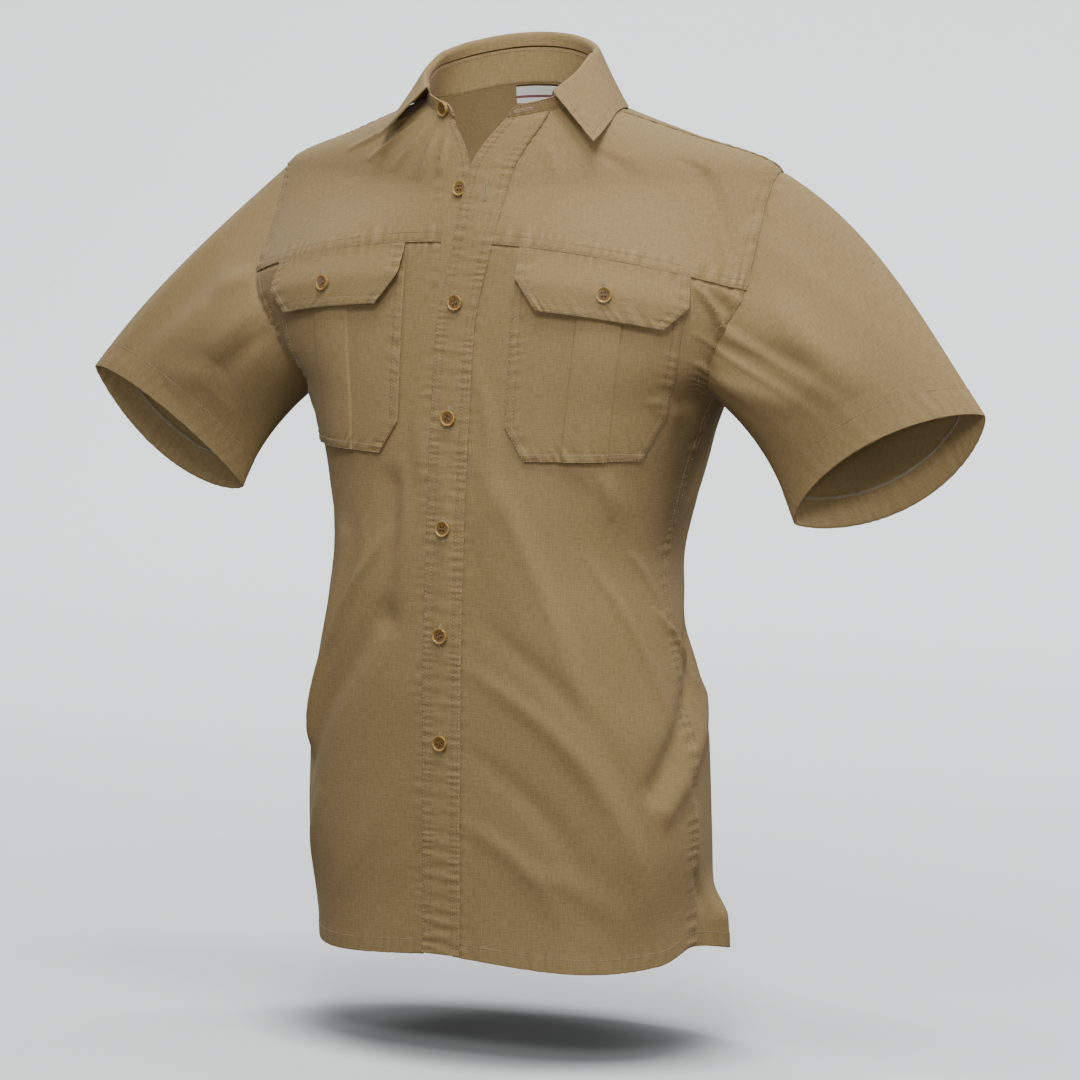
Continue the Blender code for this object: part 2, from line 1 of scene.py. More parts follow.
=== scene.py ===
"""A short-sleeved khaki field shirt, filled out as it is worn, with nobody in it.

Metres, +Z up. The front faces -Y and the wearer's left is +X. The shirt is held up by the
wearer's shoulders, level with the origin. Points of the body are read by turn (degrees round
it, 0 at the centre front and 90 at the wearer's left side) and by level (height at the
centre front).
"""

import math

import bpy
import numpy as np
from mathutils import Matrix, Vector


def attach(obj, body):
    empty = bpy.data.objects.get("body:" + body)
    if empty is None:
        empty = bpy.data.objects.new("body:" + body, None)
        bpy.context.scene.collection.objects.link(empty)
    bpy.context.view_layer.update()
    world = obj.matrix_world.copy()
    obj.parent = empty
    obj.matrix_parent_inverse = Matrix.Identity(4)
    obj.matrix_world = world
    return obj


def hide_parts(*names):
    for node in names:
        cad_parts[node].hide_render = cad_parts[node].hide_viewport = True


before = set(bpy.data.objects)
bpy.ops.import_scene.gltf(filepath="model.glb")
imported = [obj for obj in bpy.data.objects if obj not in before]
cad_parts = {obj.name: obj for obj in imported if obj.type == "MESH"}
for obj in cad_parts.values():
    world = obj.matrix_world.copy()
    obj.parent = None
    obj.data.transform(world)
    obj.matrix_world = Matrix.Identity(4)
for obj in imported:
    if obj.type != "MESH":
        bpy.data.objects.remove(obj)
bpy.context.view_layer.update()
bpy.ops.object.select_all(action="DESELECT")


# Lower fronts
# Two pieces of khaki cotton ripstop, from the chest seam to a hem turned up twice. Each is
# felled to the back at the side, and the armhole edge is turned over the sleeve.

RING_COLUMNS = ("level", "side_z", "back_z", "half_width", "front_y", "side_y", "back_y", "square")
BODY_RINGS = (
    (-0.760, -0.760, -0.760, 0.172, -0.117, 0.014, 0.160, 0.03),
    (-0.690, -0.690, -0.690, 0.172, -0.120, 0.009, 0.150, 0.03),
    (-0.620, -0.620, -0.620, 0.177, -0.125, -0.003, 0.124, 0.03),
    (-0.540, -0.540, -0.540, 0.175, -0.130, -0.009, 0.112, 0.03),
    (-0.490, -0.490, -0.490, 0.167, -0.133, -0.013, 0.106, 0.03),
    (-0.440, -0.440, -0.440, 0.157, -0.135, -0.020, 0.093, 0.03),
    (-0.385, -0.385, -0.385, 0.149, -0.136, -0.020, 0.097, 0.03),
    (-0.330, -0.328, -0.330, 0.159, -0.136, -0.018, 0.102, 0.03),
    (-0.300, -0.292, -0.297, 0.168, -0.136, -0.017, 0.103, 0.03),
    (-0.262, -0.244, -0.250, 0.187, -0.135, -0.014, 0.104, 0.02),
    (-0.200, -0.213, -0.188, 0.224, -0.132, -0.012, 0.107, 0.01),
    (-0.127, -0.164, -0.116, 0.247, -0.126, -0.008, 0.106, 0.00),
    (-0.078, -0.056, -0.050, 0.228, -0.116, 0.004, 0.086, -0.10),
    (-0.052, -0.028, -0.014, 0.155, -0.110, -0.015, 0.052, -0.06),
    (-0.025, -0.003, 0.013, 0.078, -0.102, -0.036, 0.012, 0.00),
)
HANG_COLUMNS = ("level", "wider", "lower")
RIGHT_HANG = (
    (-0.760, -0.008, 0.000),
    (-0.640, 0.000, 0.000),
    (-0.262, 0.000, 0.000),
    (-0.200, 0.007, 0.000),
    (-0.127, 0.014, 0.003),
    (-0.078, 0.012, 0.006),
    (-0.025, 0.000, 0.000),
)
# The largest folds, as soft ridges (height above 0) and troughs with round ends:
# turn, level, end turn, end level, width, height
BODY_FOLDS = (
    (16.0, -0.345, 60.0, -0.663, 0.028, 0.0030),
    (112.0, -0.430, 66.0, -0.571, 0.013, -0.0055),
    (110.0, -0.500, 72.0, -0.590, 0.012, 0.0040),
    (59.0, -0.140, 69.0, -0.200, 0.010, -0.0035),
    (-18.0, -0.330, -20.0, -0.440, 0.013, -0.0035),
    (-20.0, -0.440, -57.0, -0.573, 0.014, -0.0040),
    (-46.0, -0.378, -56.0, -0.545, 0.016, 0.0040),
    (104.0, -0.720, 102.0, -0.690, 0.024, 0.0180),
    (150.0, -0.300, 122.0, -0.450, 0.020, -0.0040),
    (205.0, -0.290, 236.0, -0.440, 0.020, -0.0040),
    (176.0, -0.480, 168.0, -0.690, 0.030, 0.0040),
)
FOLD_RADIUS = 0.165
# Finer creases, which die out at both ends; lean puts a trough on one side of the ridge:
# turn, level, end turn, end level, width, height, lean
BODY_CREASES = (
    (4.0, -0.285, 46.0, -0.560, 0.011, 0.0025, 0.5),
    (9.0, -0.430, 66.0, -0.640, 0.012, -0.0026, 0.0),
    (3.0, -0.465, 62.0, -0.645, 0.010, 0.0025, 0.6),
    (4.0, -0.540, 44.0, -0.670, 0.011, -0.0020, 0.0),
    (4.0, -0.600, 36.0, -0.690, 0.009, 0.0019, 0.5),
    (44.0, -0.370, 80.0, -0.535, 0.008, 0.0023, 0.7),
    (64.0, -0.372, 82.0, -0.420, 0.0045, 0.0022, 1.0),
    (76.0, -0.420, 104.0, -0.495, 0.0050, 0.0035, 1.1),
    (80.0, -0.560, 92.0, -0.650, 0.010, 0.0023, 0.4),
    (20.0, -0.640, 60.0, -0.700, 0.012, 0.0017, 0.0),
    (88.0, -0.640, 97.0, -0.712, 0.007, -0.0032, 0.5),
    (52.0, -0.128, 66.0, -0.178, 0.0050, 0.0026, 1.0),
    (60.0, -0.205, 76.0, -0.248, 0.0055, 0.0026, 1.0),
    (52.0, -0.255, 74.0, -0.290, 0.0070, 0.0020, 0.8),
    (58.0, -0.066, 63.0, -0.128, 0.0075, -0.0041, 0.6),
    (69.0, -0.075, 72.0, -0.125, 0.0055, 0.0023, 0.6),
    (30.0, -0.300, 62.0, -0.350, 0.010, 0.0020, 0.5),
    (-2.0, -0.290, -9.0, -0.530, 0.010, 0.0023, 0.3),
    (-14.0, -0.300, -21.0, -0.430, 0.008, 0.0020, 0.6),
    (-20.0, -0.360, -60.0, -0.585, 0.0065, 0.0041, -1.1),
    (-30.0, -0.350, -42.0, -0.470, 0.010, 0.0017, 0.4),
    (-50.0, -0.330, -58.0, -0.440, 0.0075, 0.0020, -0.6),
    (-12.0, -0.560, -40.0, -0.690, 0.012, 0.0017, 0.3),
    (-45.0, -0.590, -62.0, -0.700, 0.011, 0.0023, -0.4),
    (-8.0, -0.600, -14.0, -0.700, 0.010, -0.0017, 0.0),
    (-62.0, -0.175, -78.0, -0.245, 0.0060, 0.0032, -1.0),
    (-58.0, -0.150, -66.0, -0.205, 0.0060, -0.0026, 0.4),
    (-55.0, -0.260, -75.0, -0.300, 0.0080, 0.0020, -0.8),
    (-17.0, -0.036, -12.0, -0.072, 0.0040, 0.0023, 0.7),
    (-24.0, -0.034, -20.0, -0.076, 0.0045, 0.0029, 0.8),
    (-33.0, -0.034, -31.0, -0.074, 0.0045, 0.0026, 0.8),
    (-42.0, -0.034, -43.0, -0.070, 0.0045, 0.0029, 0.8),
    (-52.0, -0.032, -56.0, -0.066, 0.0050, 0.0026, 0.8),
    (30.0, -0.045, 22.0, -0.100, 0.0070, 0.0020, 0.7),
    (40.0, -0.042, 44.0, -0.095, 0.0080, -0.0017, 0.4),
    (118.0, -0.250, 150.0, -0.330, 0.010, 0.0029, 0.6),
    (112.0, -0.290, 140.0, -0.400, 0.011, 0.0026, 0.7),
    (242.0, -0.250, 212.0, -0.340, 0.010, 0.0029, -0.6),
    (250.0, -0.300, 222.0, -0.410, 0.011, 0.0026, -0.7),
    (150.0, -0.400, 160.0, -0.640, 0.013, 0.0026, 0.3),
    (196.0, -0.420, 190.0, -0.660, 0.014, 0.0029, -0.3),
    (214.0, -0.450, 220.0, -0.690, 0.013, 0.0023, 0.4),
    (130.0, -0.470, 134.0, -0.690, 0.013, 0.0026, -0.4),
    (248.0, -0.470, 240.0, -0.660, 0.012, 0.0023, 0.5),
    (51.0, -0.126, 68.0, -0.196, 0.0042, 0.0030, 1.2),
    (54.0, -0.172, 92.0, -0.262, 0.0042, 0.0030, 1.2),
    (100.0, -0.278, 98.0, -0.350, 0.0050, 0.0022, 0.9),
    (64.0, -0.270, 92.0, -0.296, 0.0070, 0.0020, 0.6),
    (46.0, -0.306, 55.0, -0.350, 0.0080, 0.0018, 0.6),
    (4.5, -0.215, 11.0, -0.375, 0.0065, 0.0018, 0.8),
    (-4.5, -0.215, -8.0, -0.330, 0.0065, 0.0016, -0.8),
    (140.0, -0.060, 122.0, -0.105, 0.010, 0.0020, 0.6),
    (222.0, -0.060, 238.0, -0.105, 0.010, 0.0020, -0.6),
)
HEM_COLUMNS = ("turn", "level")
HEM_LINE = (
    (0.0, -0.719),
    (40.0, -0.727),
    (70.0, -0.722),
    (90.0, -0.710),
    (110.0, -0.718),
    (140.0, -0.728),
    (180.0, -0.735),
)
OPENING_COLUMNS = ("level", "left_edge", "right_edge")
FRONT_OPENING = (
    (-0.760, -0.0175, 0.0110),
    (-0.200, -0.0170, 0.0110),
    (-0.126, -0.0070, 0.0090),
    (-0.086, -0.0020, 0.0035),
    (-0.064, 0.0020, -0.0005),
    (-0.045, 0.0110, -0.0090),
    (-0.025, 0.0260, -0.0260),
)
ARMPIT_LEVEL = -0.262
YOKE_LEVEL = -0.124
SHOULDER_LEVEL = -0.078
NECK_LEVEL = -0.025
ARMHOLE_FRONT = 27.0
ARMHOLE_BACK = 25.0
BAND_WIDTH = 0.035
BAND_LAP = 0.006
UNDER_BAND = 0.0283
CLOTH_WALL = 0.0006
CLOTH_OUT = 0.0004
TUCK_DEPTH = 0.0011
HEM_DEPTH = 0.012
HEM_BEND = 0.0008
CREASE_BOW = 0.08
PUCKER_SPACING = 0.00155
STITCH_GROOVE = 0.00025
STITCH_GROOVE_WIDTH = 0.0009
STRIP_EDGE = 0.0016
DOUBLE_ROW = (0.0015, 0.0085)
NARROW_ROW = (0.0015, 0.0070)
RIPSTOP_PITCH = 0.0046
BAND_PER_SCALE = 2 * math.pi / 20
YARN_RELIEF = 0.0002
SIDES = ((1, "left"), (-1, "right"))


def column(table, names, name, at):
    """Read a column of a table at any value of its first one, on a smooth curve."""
    knots = np.array([row[0] for row in table])
    values = np.array([row[names.index(name)] for row in table])
    rates = np.diff(values) / np.diff(knots)
    same_way = rates[:-1] * rates[1:] > 0
    total = np.where(same_way, rates[:-1] + rates[1:], 1.0)
    inner = np.where(same_way, 2 * rates[:-1] * rates[1:] / total, 0.0)
    slopes = np.concatenate([rates[:1], inner, rates[-1:]])
    at = np.clip(np.asarray(at, float), knots[0], knots[-1])
    low = np.clip(np.searchsorted(knots, at) - 1, 0, len(knots) - 2)
    span = knots[low + 1] - knots[low]
    t = (at - knots[low]) / span
    start = (1 + 2 * t) * (1 - t) ** 2 * values[low] + t * (1 - t) ** 2 * span * slopes[low]
    end = t * t * (3 - 2 * t) * values[low + 1] - t * t * (1 - t) * span * slopes[low + 1]
    return start + end


def unit(vectors):
    return vectors / np.maximum(np.linalg.norm(vectors, axis=-1, keepdims=True), 1e-12)


def soft_step(t):
    """Rise smoothly from 0 to 1."""
    t = np.clip(t, 0.0, 1.0)
    return t * t * (3 - 2 * t)


def body_shape(turn, level):
    """Points of the body as it is filled out, without its folds."""
    turn = np.radians(turn)
    ring = {name: column(BODY_RINGS, RING_COLUMNS, name, level) for name in RING_COLUMNS[1:]}
    square = ring["square"]
    fore = np.cos(turn) > 0
    depth = np.where(fore, ring["side_y"] - ring["front_y"], ring["back_y"] - ring["side_y"])
    end_z = np.where(fore, level, ring["back_z"])
    hang = np.where(np.sin(turn) < 0, np.sin(turn) ** 2, 0.0)
    half_width = ring["half_width"] + hang * column(RIGHT_HANG, HANG_COLUMNS, "wider", level)
    x = half_width * (np.sin(turn) + square * np.sin(3 * turn)) / (1 - square)
    y = ring["side_y"] - depth * (np.cos(turn) - square * np.cos(3 * turn)) / (1 - square)
    side_z = ring["side_z"] - hang * column(RIGHT_HANG, HANG_COLUMNS, "lower", level)
    z = end_z * np.cos(turn) ** 2 + side_z * np.sin(turn) ** 2
    return np.stack([x, y, z], axis=-1)


def body_normal(turn, level):
    low = np.clip(level - 0.001, BODY_RINGS[0][0], NECK_LEVEL - 0.002)
    across = body_shape(turn + 0.5, level) - body_shape(turn - 0.5, level)
    up = body_shape(turn, low + 0.002) - body_shape(turn, low)
    return unit(np.cross(across, up))


def fold_height(turn, level):
    """How far the folds and creases push the cloth out."""
    turn = np.where(turn < -130.0, turn + 360.0, np.where(turn > 250.0, turn - 360.0, turn))
    height = np.zeros(np.broadcast(turn, level).shape)
    metre = np.radians(FOLD_RADIUS)
    for start_turn, start, end_turn, end, width, peak in BODY_FOLDS:
        run = np.array([(end_turn - start_turn) * metre, end - start])
        way_x = (turn - start_turn) * metre
        way_z = level - start
        along = np.clip((way_x * run[0] + way_z * run[1]) / (run @ run), 0.0, 1.0)
        away = (way_x - along * run[0]) ** 2 + (way_z - along * run[1]) ** 2
        height = height + peak * np.exp(-away / width ** 2)
    for start_turn, start, end_turn, end, width, peak, lean in BODY_CREASES:
        run = np.array([(end_turn - start_turn) * metre, end - start])
        length = np.hypot(*run)
        if start_turn > 100.0 or end_turn > 100.0:
            turned = np.where(turn < -60.0, turn + 360.0, turn)
        else:
            turned = turn
        way_x = (turned - start_turn) * metre
        way_z = level - start
        along = (way_x * run[0] + way_z * run[1]) / length ** 2
        away = (way_x * run[1] - way_z * run[0]) / length
        arch = np.sin(np.pi * np.clip(along, 0.0, 1.0))
        away = away + CREASE_BOW * length * arch * np.sign(lean + 0.01)
        fade = arch ** 0.8
        across = away / (width * (0.7 + 0.6 * np.clip(along, 0.0, 1.0)))
        height = height + peak * fade * (1.0 + lean * across) * np.exp(-across ** 2)
    return height


def body(turn, level, out=CLOTH_OUT):
    """Points of the body's cloth, some way out from the middle of its wall."""
    turn = np.asarray(turn, float)
    level = np.asarray(level, float)
    out = np.asarray(out, float) + fold_height(turn, level)
    return body_shape(turn, level) + body_normal(turn, level) * out[..., None]


def turn_at(level, round_front):
    """Turn of the point that lies a distance round the body from the centre front."""
    level, distance = np.broadcast_arrays(np.asarray(level, float), np.asarray(round_front, float))
    turns = np.linspace(0.0, 100.0, 101)
    heights, which = np.unique(np.round(level.reshape(-1), 6), return_inverse=True)
    steps = np.linalg.norm(np.diff(body_shape(turns[None, :], heights[:, None]), axis=1), axis=2)
    walked = np.concatenate([np.zeros((len(steps), 1)), np.cumsum(steps, axis=1)], axis=1)
    flat = distance.reshape(-1)
    turn = np.empty(len(flat))
    for row in range(len(heights)):
        here = which.reshape(-1) == row
        turn[here] = np.sign(flat[here]) * np.interp(np.abs(flat[here]), walked[row], turns)
    return turn.reshape(level.shape)


def hem_level(turn):
    return column(HEM_LINE, HEM_COLUMNS, "level", np.abs(turn))


def armhole_level(around):
    """Level of an armhole point, around it from 0 at the shoulder to 180 at the armpit."""
    return ARMPIT_LEVEL + (SHOULDER_LEVEL - ARMPIT_LEVEL) * (1 + np.cos(np.radians(around))) / 2


def armhole_turn(around):
    sine = np.sin(np.radians(around))
    return 90.0 - np.where(sine > 0, ARMHOLE_FRONT, ARMHOLE_BACK) * sine


def opening(name, level):
    return column(FRONT_OPENING, OPENING_COLUMNS, name, level)


def panel_start(side, level):
    """How far from the centre front a front panel starts, towards its own side."""
    if side > 0:
        return opening("left_edge", level) + BAND_WIDTH - BAND_LAP
    return UNDER_BAND - opening("right_edge", level)


def pucker(along, away, reach, phase, spacing):
    """Ridges that shrunken thread draws up across a seam, uneven in strength and spacing."""
    wander = 2.4 * np.sin(along / 0.0085 + phase) + 1.5 * np.sin(along / 0.0210 + 2.3 * phase)
    ridge = np.sin(along / spacing + wander + 5.0 * phase)
    strength = 0.55 + 0.30 * np.sin(along / 0.0135 + 1.9 * phase) + 0.15 * np.sin(along / 0.0047)
    return strength * ridge * np.exp(-(away / reach) ** 2)


def walk(points, axis):
    """Metres walked along each line of a grid of points."""
    steps = np.linalg.norm(np.diff(points, axis=axis), axis=-1)
    first = np.zeros_like(np.take(steps, [0], axis=axis))
    return np.concatenate([first, np.cumsum(steps, axis=axis)], axis=axis)


def facing_way(points, facing):
    across = np.gradient(points, axis=1)
    up = np.gradient(points, axis=0)
    return unit(np.cross(across, up)) * facing


def grain(points, kind):
    """Where each point lies in the flat cloth, in metres, so that the weave runs true."""
    across = walk(points, 1)
    up = walk(points, 0)
    middle = across.shape[1] // 2
    if kind == "hang":
        return across, points[..., 2]
    if kind == "hang_middle":
        return across - across[:, [middle]], points[..., 2]
    if kind == "middle":
        return across - across[:, [middle]], np.broadcast_to(up[:, [middle]], across.shape)
    return across, up


def grid_lines(length, start=True, end=True, step=0.0028):
    """Grid lines as shares of a length: close together along a sewn edge, wider between."""
    marks = [0.0]
    while marks[-1] < length - 0.0002:
        near = min(marks[-1] if start else length, length - marks[-1] if end else length)
        marks.append(marks[-1] + (0.0004 if near < 0.0011 else 0.0011 if near < 0.0110 else step))
    return np.array(marks) / marks[-1]


def sewn(*edges, rows=(), strip=0.0, raised=0.0, drawn=0.0, reach=0.006, first=0.0, last=1.0):
    """One seam along some edges: its rows of stitches by distance in, the strip turned under
    it, how high that raises it, how deep and how far in the thread draws the cloth up, and
    the shares of the edge where it begins and ends."""
    return [(edge, rows, strip, raised, drawn, reach, first, last) for edge in edges]


cloths = {}
LAID_ROUND = 0.0014


def lay_cloth(name, u_lines, v_lines, place, facing=1, seams=(), weave="lie", wall=CLOTH_WALL,
              laid=(), drop=0.0009, extra=None, tube=False, foot_fold=0, top_fold=0,
              spacing=PUCKER_SPACING):
    """Lay a grid of cloth on a shape, draw up its seams and give it its thickness."""
    u_lines = np.asarray(u_lines, float)
    v_lines = np.asarray(v_lines, float)
    u, v = np.meshgrid(u_lines, v_lines)
    points = place(u.reshape(-1), v.reshape(-1)).reshape(u.shape + (3,))
    normals = facing_way(points, facing)
    across = walk(points, 1)
    up = walk(points, 0)
    away_from = {"start": across, "end": across[:, -1:] - across,
                 "foot": np.abs(up - up[foot_fold]), "top": np.abs(up[-1 - top_fold] - up)}
    out = np.zeros(u.shape)
    wear_and_shade_marks = np.zeros(u.shape)
    for number, (edge, rows, strip, raised, drawn, reach, first, last) in enumerate(seams):
        away = away_from[edge]
        along, share = (up, v) if edge in ("start", "end") else (across, u)
        here = soft_step((share - first) / 0.01 + 1.0) * soft_step((last - share) / 0.01 + 1.0)
        inner = rows[-1] if rows else 0.0
        ridges = here * pucker(along, np.maximum(away - inner, 0.0), reach,
                               1.7 * len(cloths) + number, spacing)
        out = out + drawn * ridges
        # Pucker ridges are made lighter, where washing wore them, and the valleys between them
        # darker.
        wear_and_shade_marks = wear_and_shade_marks + ridges * drawn / 0.0005
        out = out + here * raised * soft_step((strip - away) / STRIP_EDGE + 0.5) * (strip > 0)
        for row in rows:
            groove = here * np.exp(-((away - row) / STITCH_GROOVE_WIDTH) ** 2)
            out = out - STITCH_GROOVE * groove
            # Painted shade: the colour is darkened along each stitch groove.
            wear_and_shade_marks = wear_and_shade_marks - 0.9 * groove
    for edge in laid:
        inside = np.clip(1.0 - away_from[edge] / LAID_ROUND, 0.0, 1.0)
        out = out - drop * (1.0 - np.sqrt(1.0 - inside ** 2))
        wear_and_shade_marks = wear_and_shade_marks + 0.8 * np.exp(-(away_from[edge] / 0.0012) ** 2)
    if extra is not None:
        out = out + extra(u, v)
    points = points + normals * out[..., None]
    bpy.ops.object.select_all(action="DESELECT")
    bpy.ops.mesh.primitive_grid_add(x_subdivisions=len(u_lines) - 1,
                                    y_subdivisions=len(v_lines) - 1, size=1.0)
    piece = bpy.context.object
    piece.name = name + "_cloth"
    mesh = piece.data
    mesh.name = piece.name
    flat = np.empty(len(mesh.vertices) * 3)
    mesh.vertices.foreach_get("co", flat)
    cells = flat.reshape(-1, 3)[:, :2] + 0.5
    col = np.rint(cells[:, 0] * (len(u_lines) - 1)).astype(int)
    row = np.rint(cells[:, 1] * (len(v_lines) - 1)).astype(int)
    mesh.vertices.foreach_set("co", points[row, col].reshape(-1))
    cloth_x, cloth_y = grain(points, weave)
    loops = np.empty(len(mesh.loops), int)
    mesh.loops.foreach_get("vertex_index", loops)
    uv = np.stack([cloth_x[row, col][loops], cloth_y[row, col][loops]], axis=-1)
    mesh.uv_layers[0].name = "weave"
    mesh.uv_layers[0].data.foreach_set("uv", uv.reshape(-1))
    # Stored for the finish: lighter on washed ridges and folded edges, painted shade in the stitch
    # grooves.
    wear_and_shade = mesh.attributes.new("wear_and_shade", "FLOAT", "POINT")
    wear_and_shade.data.foreach_set("value", wear_and_shade_marks[row, col])
    bpy.ops.object.mode_set(mode="EDIT")
    bpy.ops.mesh.select_all(action="SELECT")
    if tube:
        bpy.ops.mesh.remove_doubles(threshold=0.00001)
    if facing < 0:
        bpy.ops.mesh.flip_normals()
    bpy.ops.object.mode_set(mode="OBJECT")
    thicken = piece.modifiers.new("wall", "SOLIDIFY")
    thicken.thickness = wall
    thicken.offset = 0.0
    bpy.ops.object.modifier_apply(modifier="wall")
    bpy.ops.object.shade_smooth_by_angle(angle=math.radians(50.0))
    shown = slice(foot_fold, len(v_lines) - top_fold)
    cloths[name] = {"piece": piece, "points": points[shown], "wall": wall, "seams": seams,
                    "normals": facing_way(points, facing)[shown], "u": u_lines, "v": v_lines[shown]}


def evenly(start, end, cells):
    return np.linspace(start, end, cells + 1)


def new_finish(name, roughness):
    """Start a material: itself, its nodes and links, and its shader."""
    material = bpy.data.materials.new(name)
    material.use_nodes = True
    shader = material.node_tree.nodes["Principled BSDF"]
    shader.inputs["Roughness"].default_value = roughness
    return material, material.node_tree.nodes, material.node_tree.links, shader


def blend(nodes, links, first, second, factor, way="MIX"):
    """A mix of two colours; each of the three is a socket, a colour or a number."""
    mix = nodes.new("ShaderNodeMix")
    mix.data_type = "RGBA"
    mix.blend_type = way
    for socket, value in ((6, first), (7, second), (0, factor)):
        if isinstance(value, bpy.types.NodeSocket):
            links.new(value, mix.inputs[socket])
        else:
            mix.inputs[socket].default_value = value
    return mix.outputs[2]


def weighted(nodes, links, value, weight, added):
    """A value times a weight, plus a number or another value."""
    sum_node = nodes.new("ShaderNodeMath")
    sum_node.operation = "MULTIPLY_ADD"
    links.new(value, sum_node.inputs[0])
    sum_node.inputs[1].default_value = weight
    if isinstance(added, bpy.types.NodeSocket):
        links.new(added, sum_node.inputs[2])
    else:
        sum_node.inputs[2].default_value = added
    return sum_node.outputs["Value"]


def speckle(nodes, links, vector, scale, detail):
    noise = nodes.new("ShaderNodeTexNoise")
    noise.inputs["Scale"].default_value = scale
    noise.inputs["Detail"].default_value = detail
    links.new(vector, noise.inputs["Vector"])
    return noise.outputs["Fac"]


def raise_grain(nodes, links, height, strength, shader):
    bump = nodes.new("ShaderNodeBump")
    bump.inputs["Strength"].default_value = strength
    bump.inputs["Distance"].default_value = YARN_RELIEF
    links.new(height, bump.inputs["Height"])
    links.new(bump.outputs["Normal"], shader.inputs["Normal"])


def ripstop(name, colour, dark):
    """Cotton ripstop: a plain weave with a square grid of thicker yarns, washed pale on its
    ridges and edges, with painted shade in its stitch grooves.
    """
    material, nodes, links, shader = new_finish(name, 0.72)
    shader.inputs["Specular IOR Level"].default_value = 0.28
    shader.inputs["Sheen Weight"].default_value = 0.08
    shader.inputs["Sheen Roughness"].default_value = 0.45
    shader.inputs["Sheen Tint"].default_value = (1.0, 0.93, 0.80, 1.0)
    cloth = nodes.new("ShaderNodeUVMap")
    cloth.uv_map = "weave"
    heavy = []
    for way in ("X", "Y"):
        yarn = nodes.new("ShaderNodeTexWave")
        yarn.wave_type = "BANDS"
        yarn.bands_direction = way
        yarn.inputs["Scale"].default_value = BAND_PER_SCALE / RIPSTOP_PITCH
        yarn.inputs["Distortion"].default_value = 0.0
        thin = nodes.new("ShaderNodeValToRGB")
        thin.color_ramp.elements[0].position = 0.84
        thin.color_ramp.elements[1].position = 0.97
        links.new(cloth.outputs["UV"], yarn.inputs["Vector"])
        links.new(yarn.outputs["Fac"], thin.inputs["Fac"])
        heavy.append(thin.outputs["Color"])
    grid = blend(nodes, links, *heavy, 1.0, "LIGHTEN")
    slubs = []
    for stretch in ((120.0, 1500.0, 1.0), (1500.0, 120.0, 1.0)):
        place = nodes.new("ShaderNodeMapping")
        place.inputs["Scale"].default_value = stretch
        links.new(cloth.outputs["UV"], place.inputs["Vector"])
        slubs.append(speckle(nodes, links, place.outputs["Vector"], 1.0, 2.0))
    yarns = blend(nodes, links, *slubs, 0.5)
    where = nodes.new("ShaderNodeTexCoord")
    fading = speckle(nodes, links, where.outputs["Object"], 9.0, 3.0)
    # The cloth's stored marks: lighter where washing wore ridges and edges, darker in the stitch
    # grooves as painted shade.
    wear_and_shade = nodes.new("ShaderNodeAttribute")
    wear_and_shade.attribute_name = "wear_and_shade"
    wear_and_shade_share = weighted(nodes, links, wear_and_shade.outputs["Fac"], 0.30, -1.02)
    fading_wear_and_shade = weighted(nodes, links, fading, 0.34, wear_and_shade_share)
    tone_factor = weighted(nodes, links, yarns, 2.6, fading_wear_and_shade)
    shade = blend(nodes, links, (*dark, 1.0), (*colour, 1.0), tone_factor)
    lined = blend(nodes, links, shade, (1.045, 1.045, 1.04, 1.0), grid, "MULTIPLY")
    links.new(lined, shader.inputs["Base Color"])
    raise_grain(nodes, links, blend(nodes, links, yarns, grid, 0.6, "ADD"), 0.25, shader)
    return material


khaki = ripstop("khaki_ripstop", (0.330, 0.235, 0.108), (0.205, 0.136, 0.052))


def cut_piece(node, material=khaki):
    """Give a cloth its finish and its body, and hide the solid it stands for."""
    piece = cloths[node]["piece"]
    piece.data.materials.clear()
    piece.data.materials.append(material)
    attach(piece, "root")
    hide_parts(node)


def lower_rows(v):
    """Rise from hem to armpit, then the armhole angle up to the yoke and a little past it."""
    rise = np.clip(v / 0.5, 0.0, 1.0)
    around = 180.0 - 120.0 * np.maximum(v - 0.5, 0.0) / 0.5
    return rise, around


def lower_level(turn, rise, around):
    low = hem_level(turn)
    return np.where(rise < 1.0, low + (ARMPIT_LEVEL - low) * rise, armhole_level(around))


def turn_up(v):
    """How the hem is turned up inside: how far up it, and how far in."""
    inside = np.maximum(-v, 0.0)
    bend = np.clip(inside / HEM_BEND, 0.0, 1.0)
    return inside - HEM_BEND / 2 * np.sin(np.pi * bend), TUCK_DEPTH * soft_step(bend)


def lower_front(side):
    def place(u, v):
        risen, inside = turn_up(v)
        rise, around = lower_rows(np.maximum(v, 0.0))
        level = lower_level(0.0, rise, around)
        start = turn_at(level, panel_start(side, level))
        turn = start + (np.minimum(armhole_turn(around), 90.0) - start) * u
        under = TUCK_DEPTH * soft_step((v - 0.990) / 0.010) + inside
        return body(side * turn, lower_level(turn, rise, around) + risen, CLOTH_OUT - under)
    return place


HEM_ROWS = (-HEM_DEPTH, -0.008, -0.004, -0.0015, -0.0008, -0.0004)
YOKE_TUCK = (1.002, 1.012)
SIDE_LENGTH = 0.457
ARMHOLE_LENGTH = 0.138


def lower_grid(step, armhole_step):
    """Rows of a lower panel: the turned-up hem, the side, the armhole and what the yoke covers."""
    along_side = 0.5 * grid_lines(SIDE_LENGTH, end=False, step=step)
    up_armhole = 0.5 + 0.5 * grid_lines(ARMHOLE_LENGTH, start=False, step=armhole_step)[1:-1]
    return np.concatenate([HEM_ROWS, along_side, up_armhole, (0.998,), YOKE_TUCK])


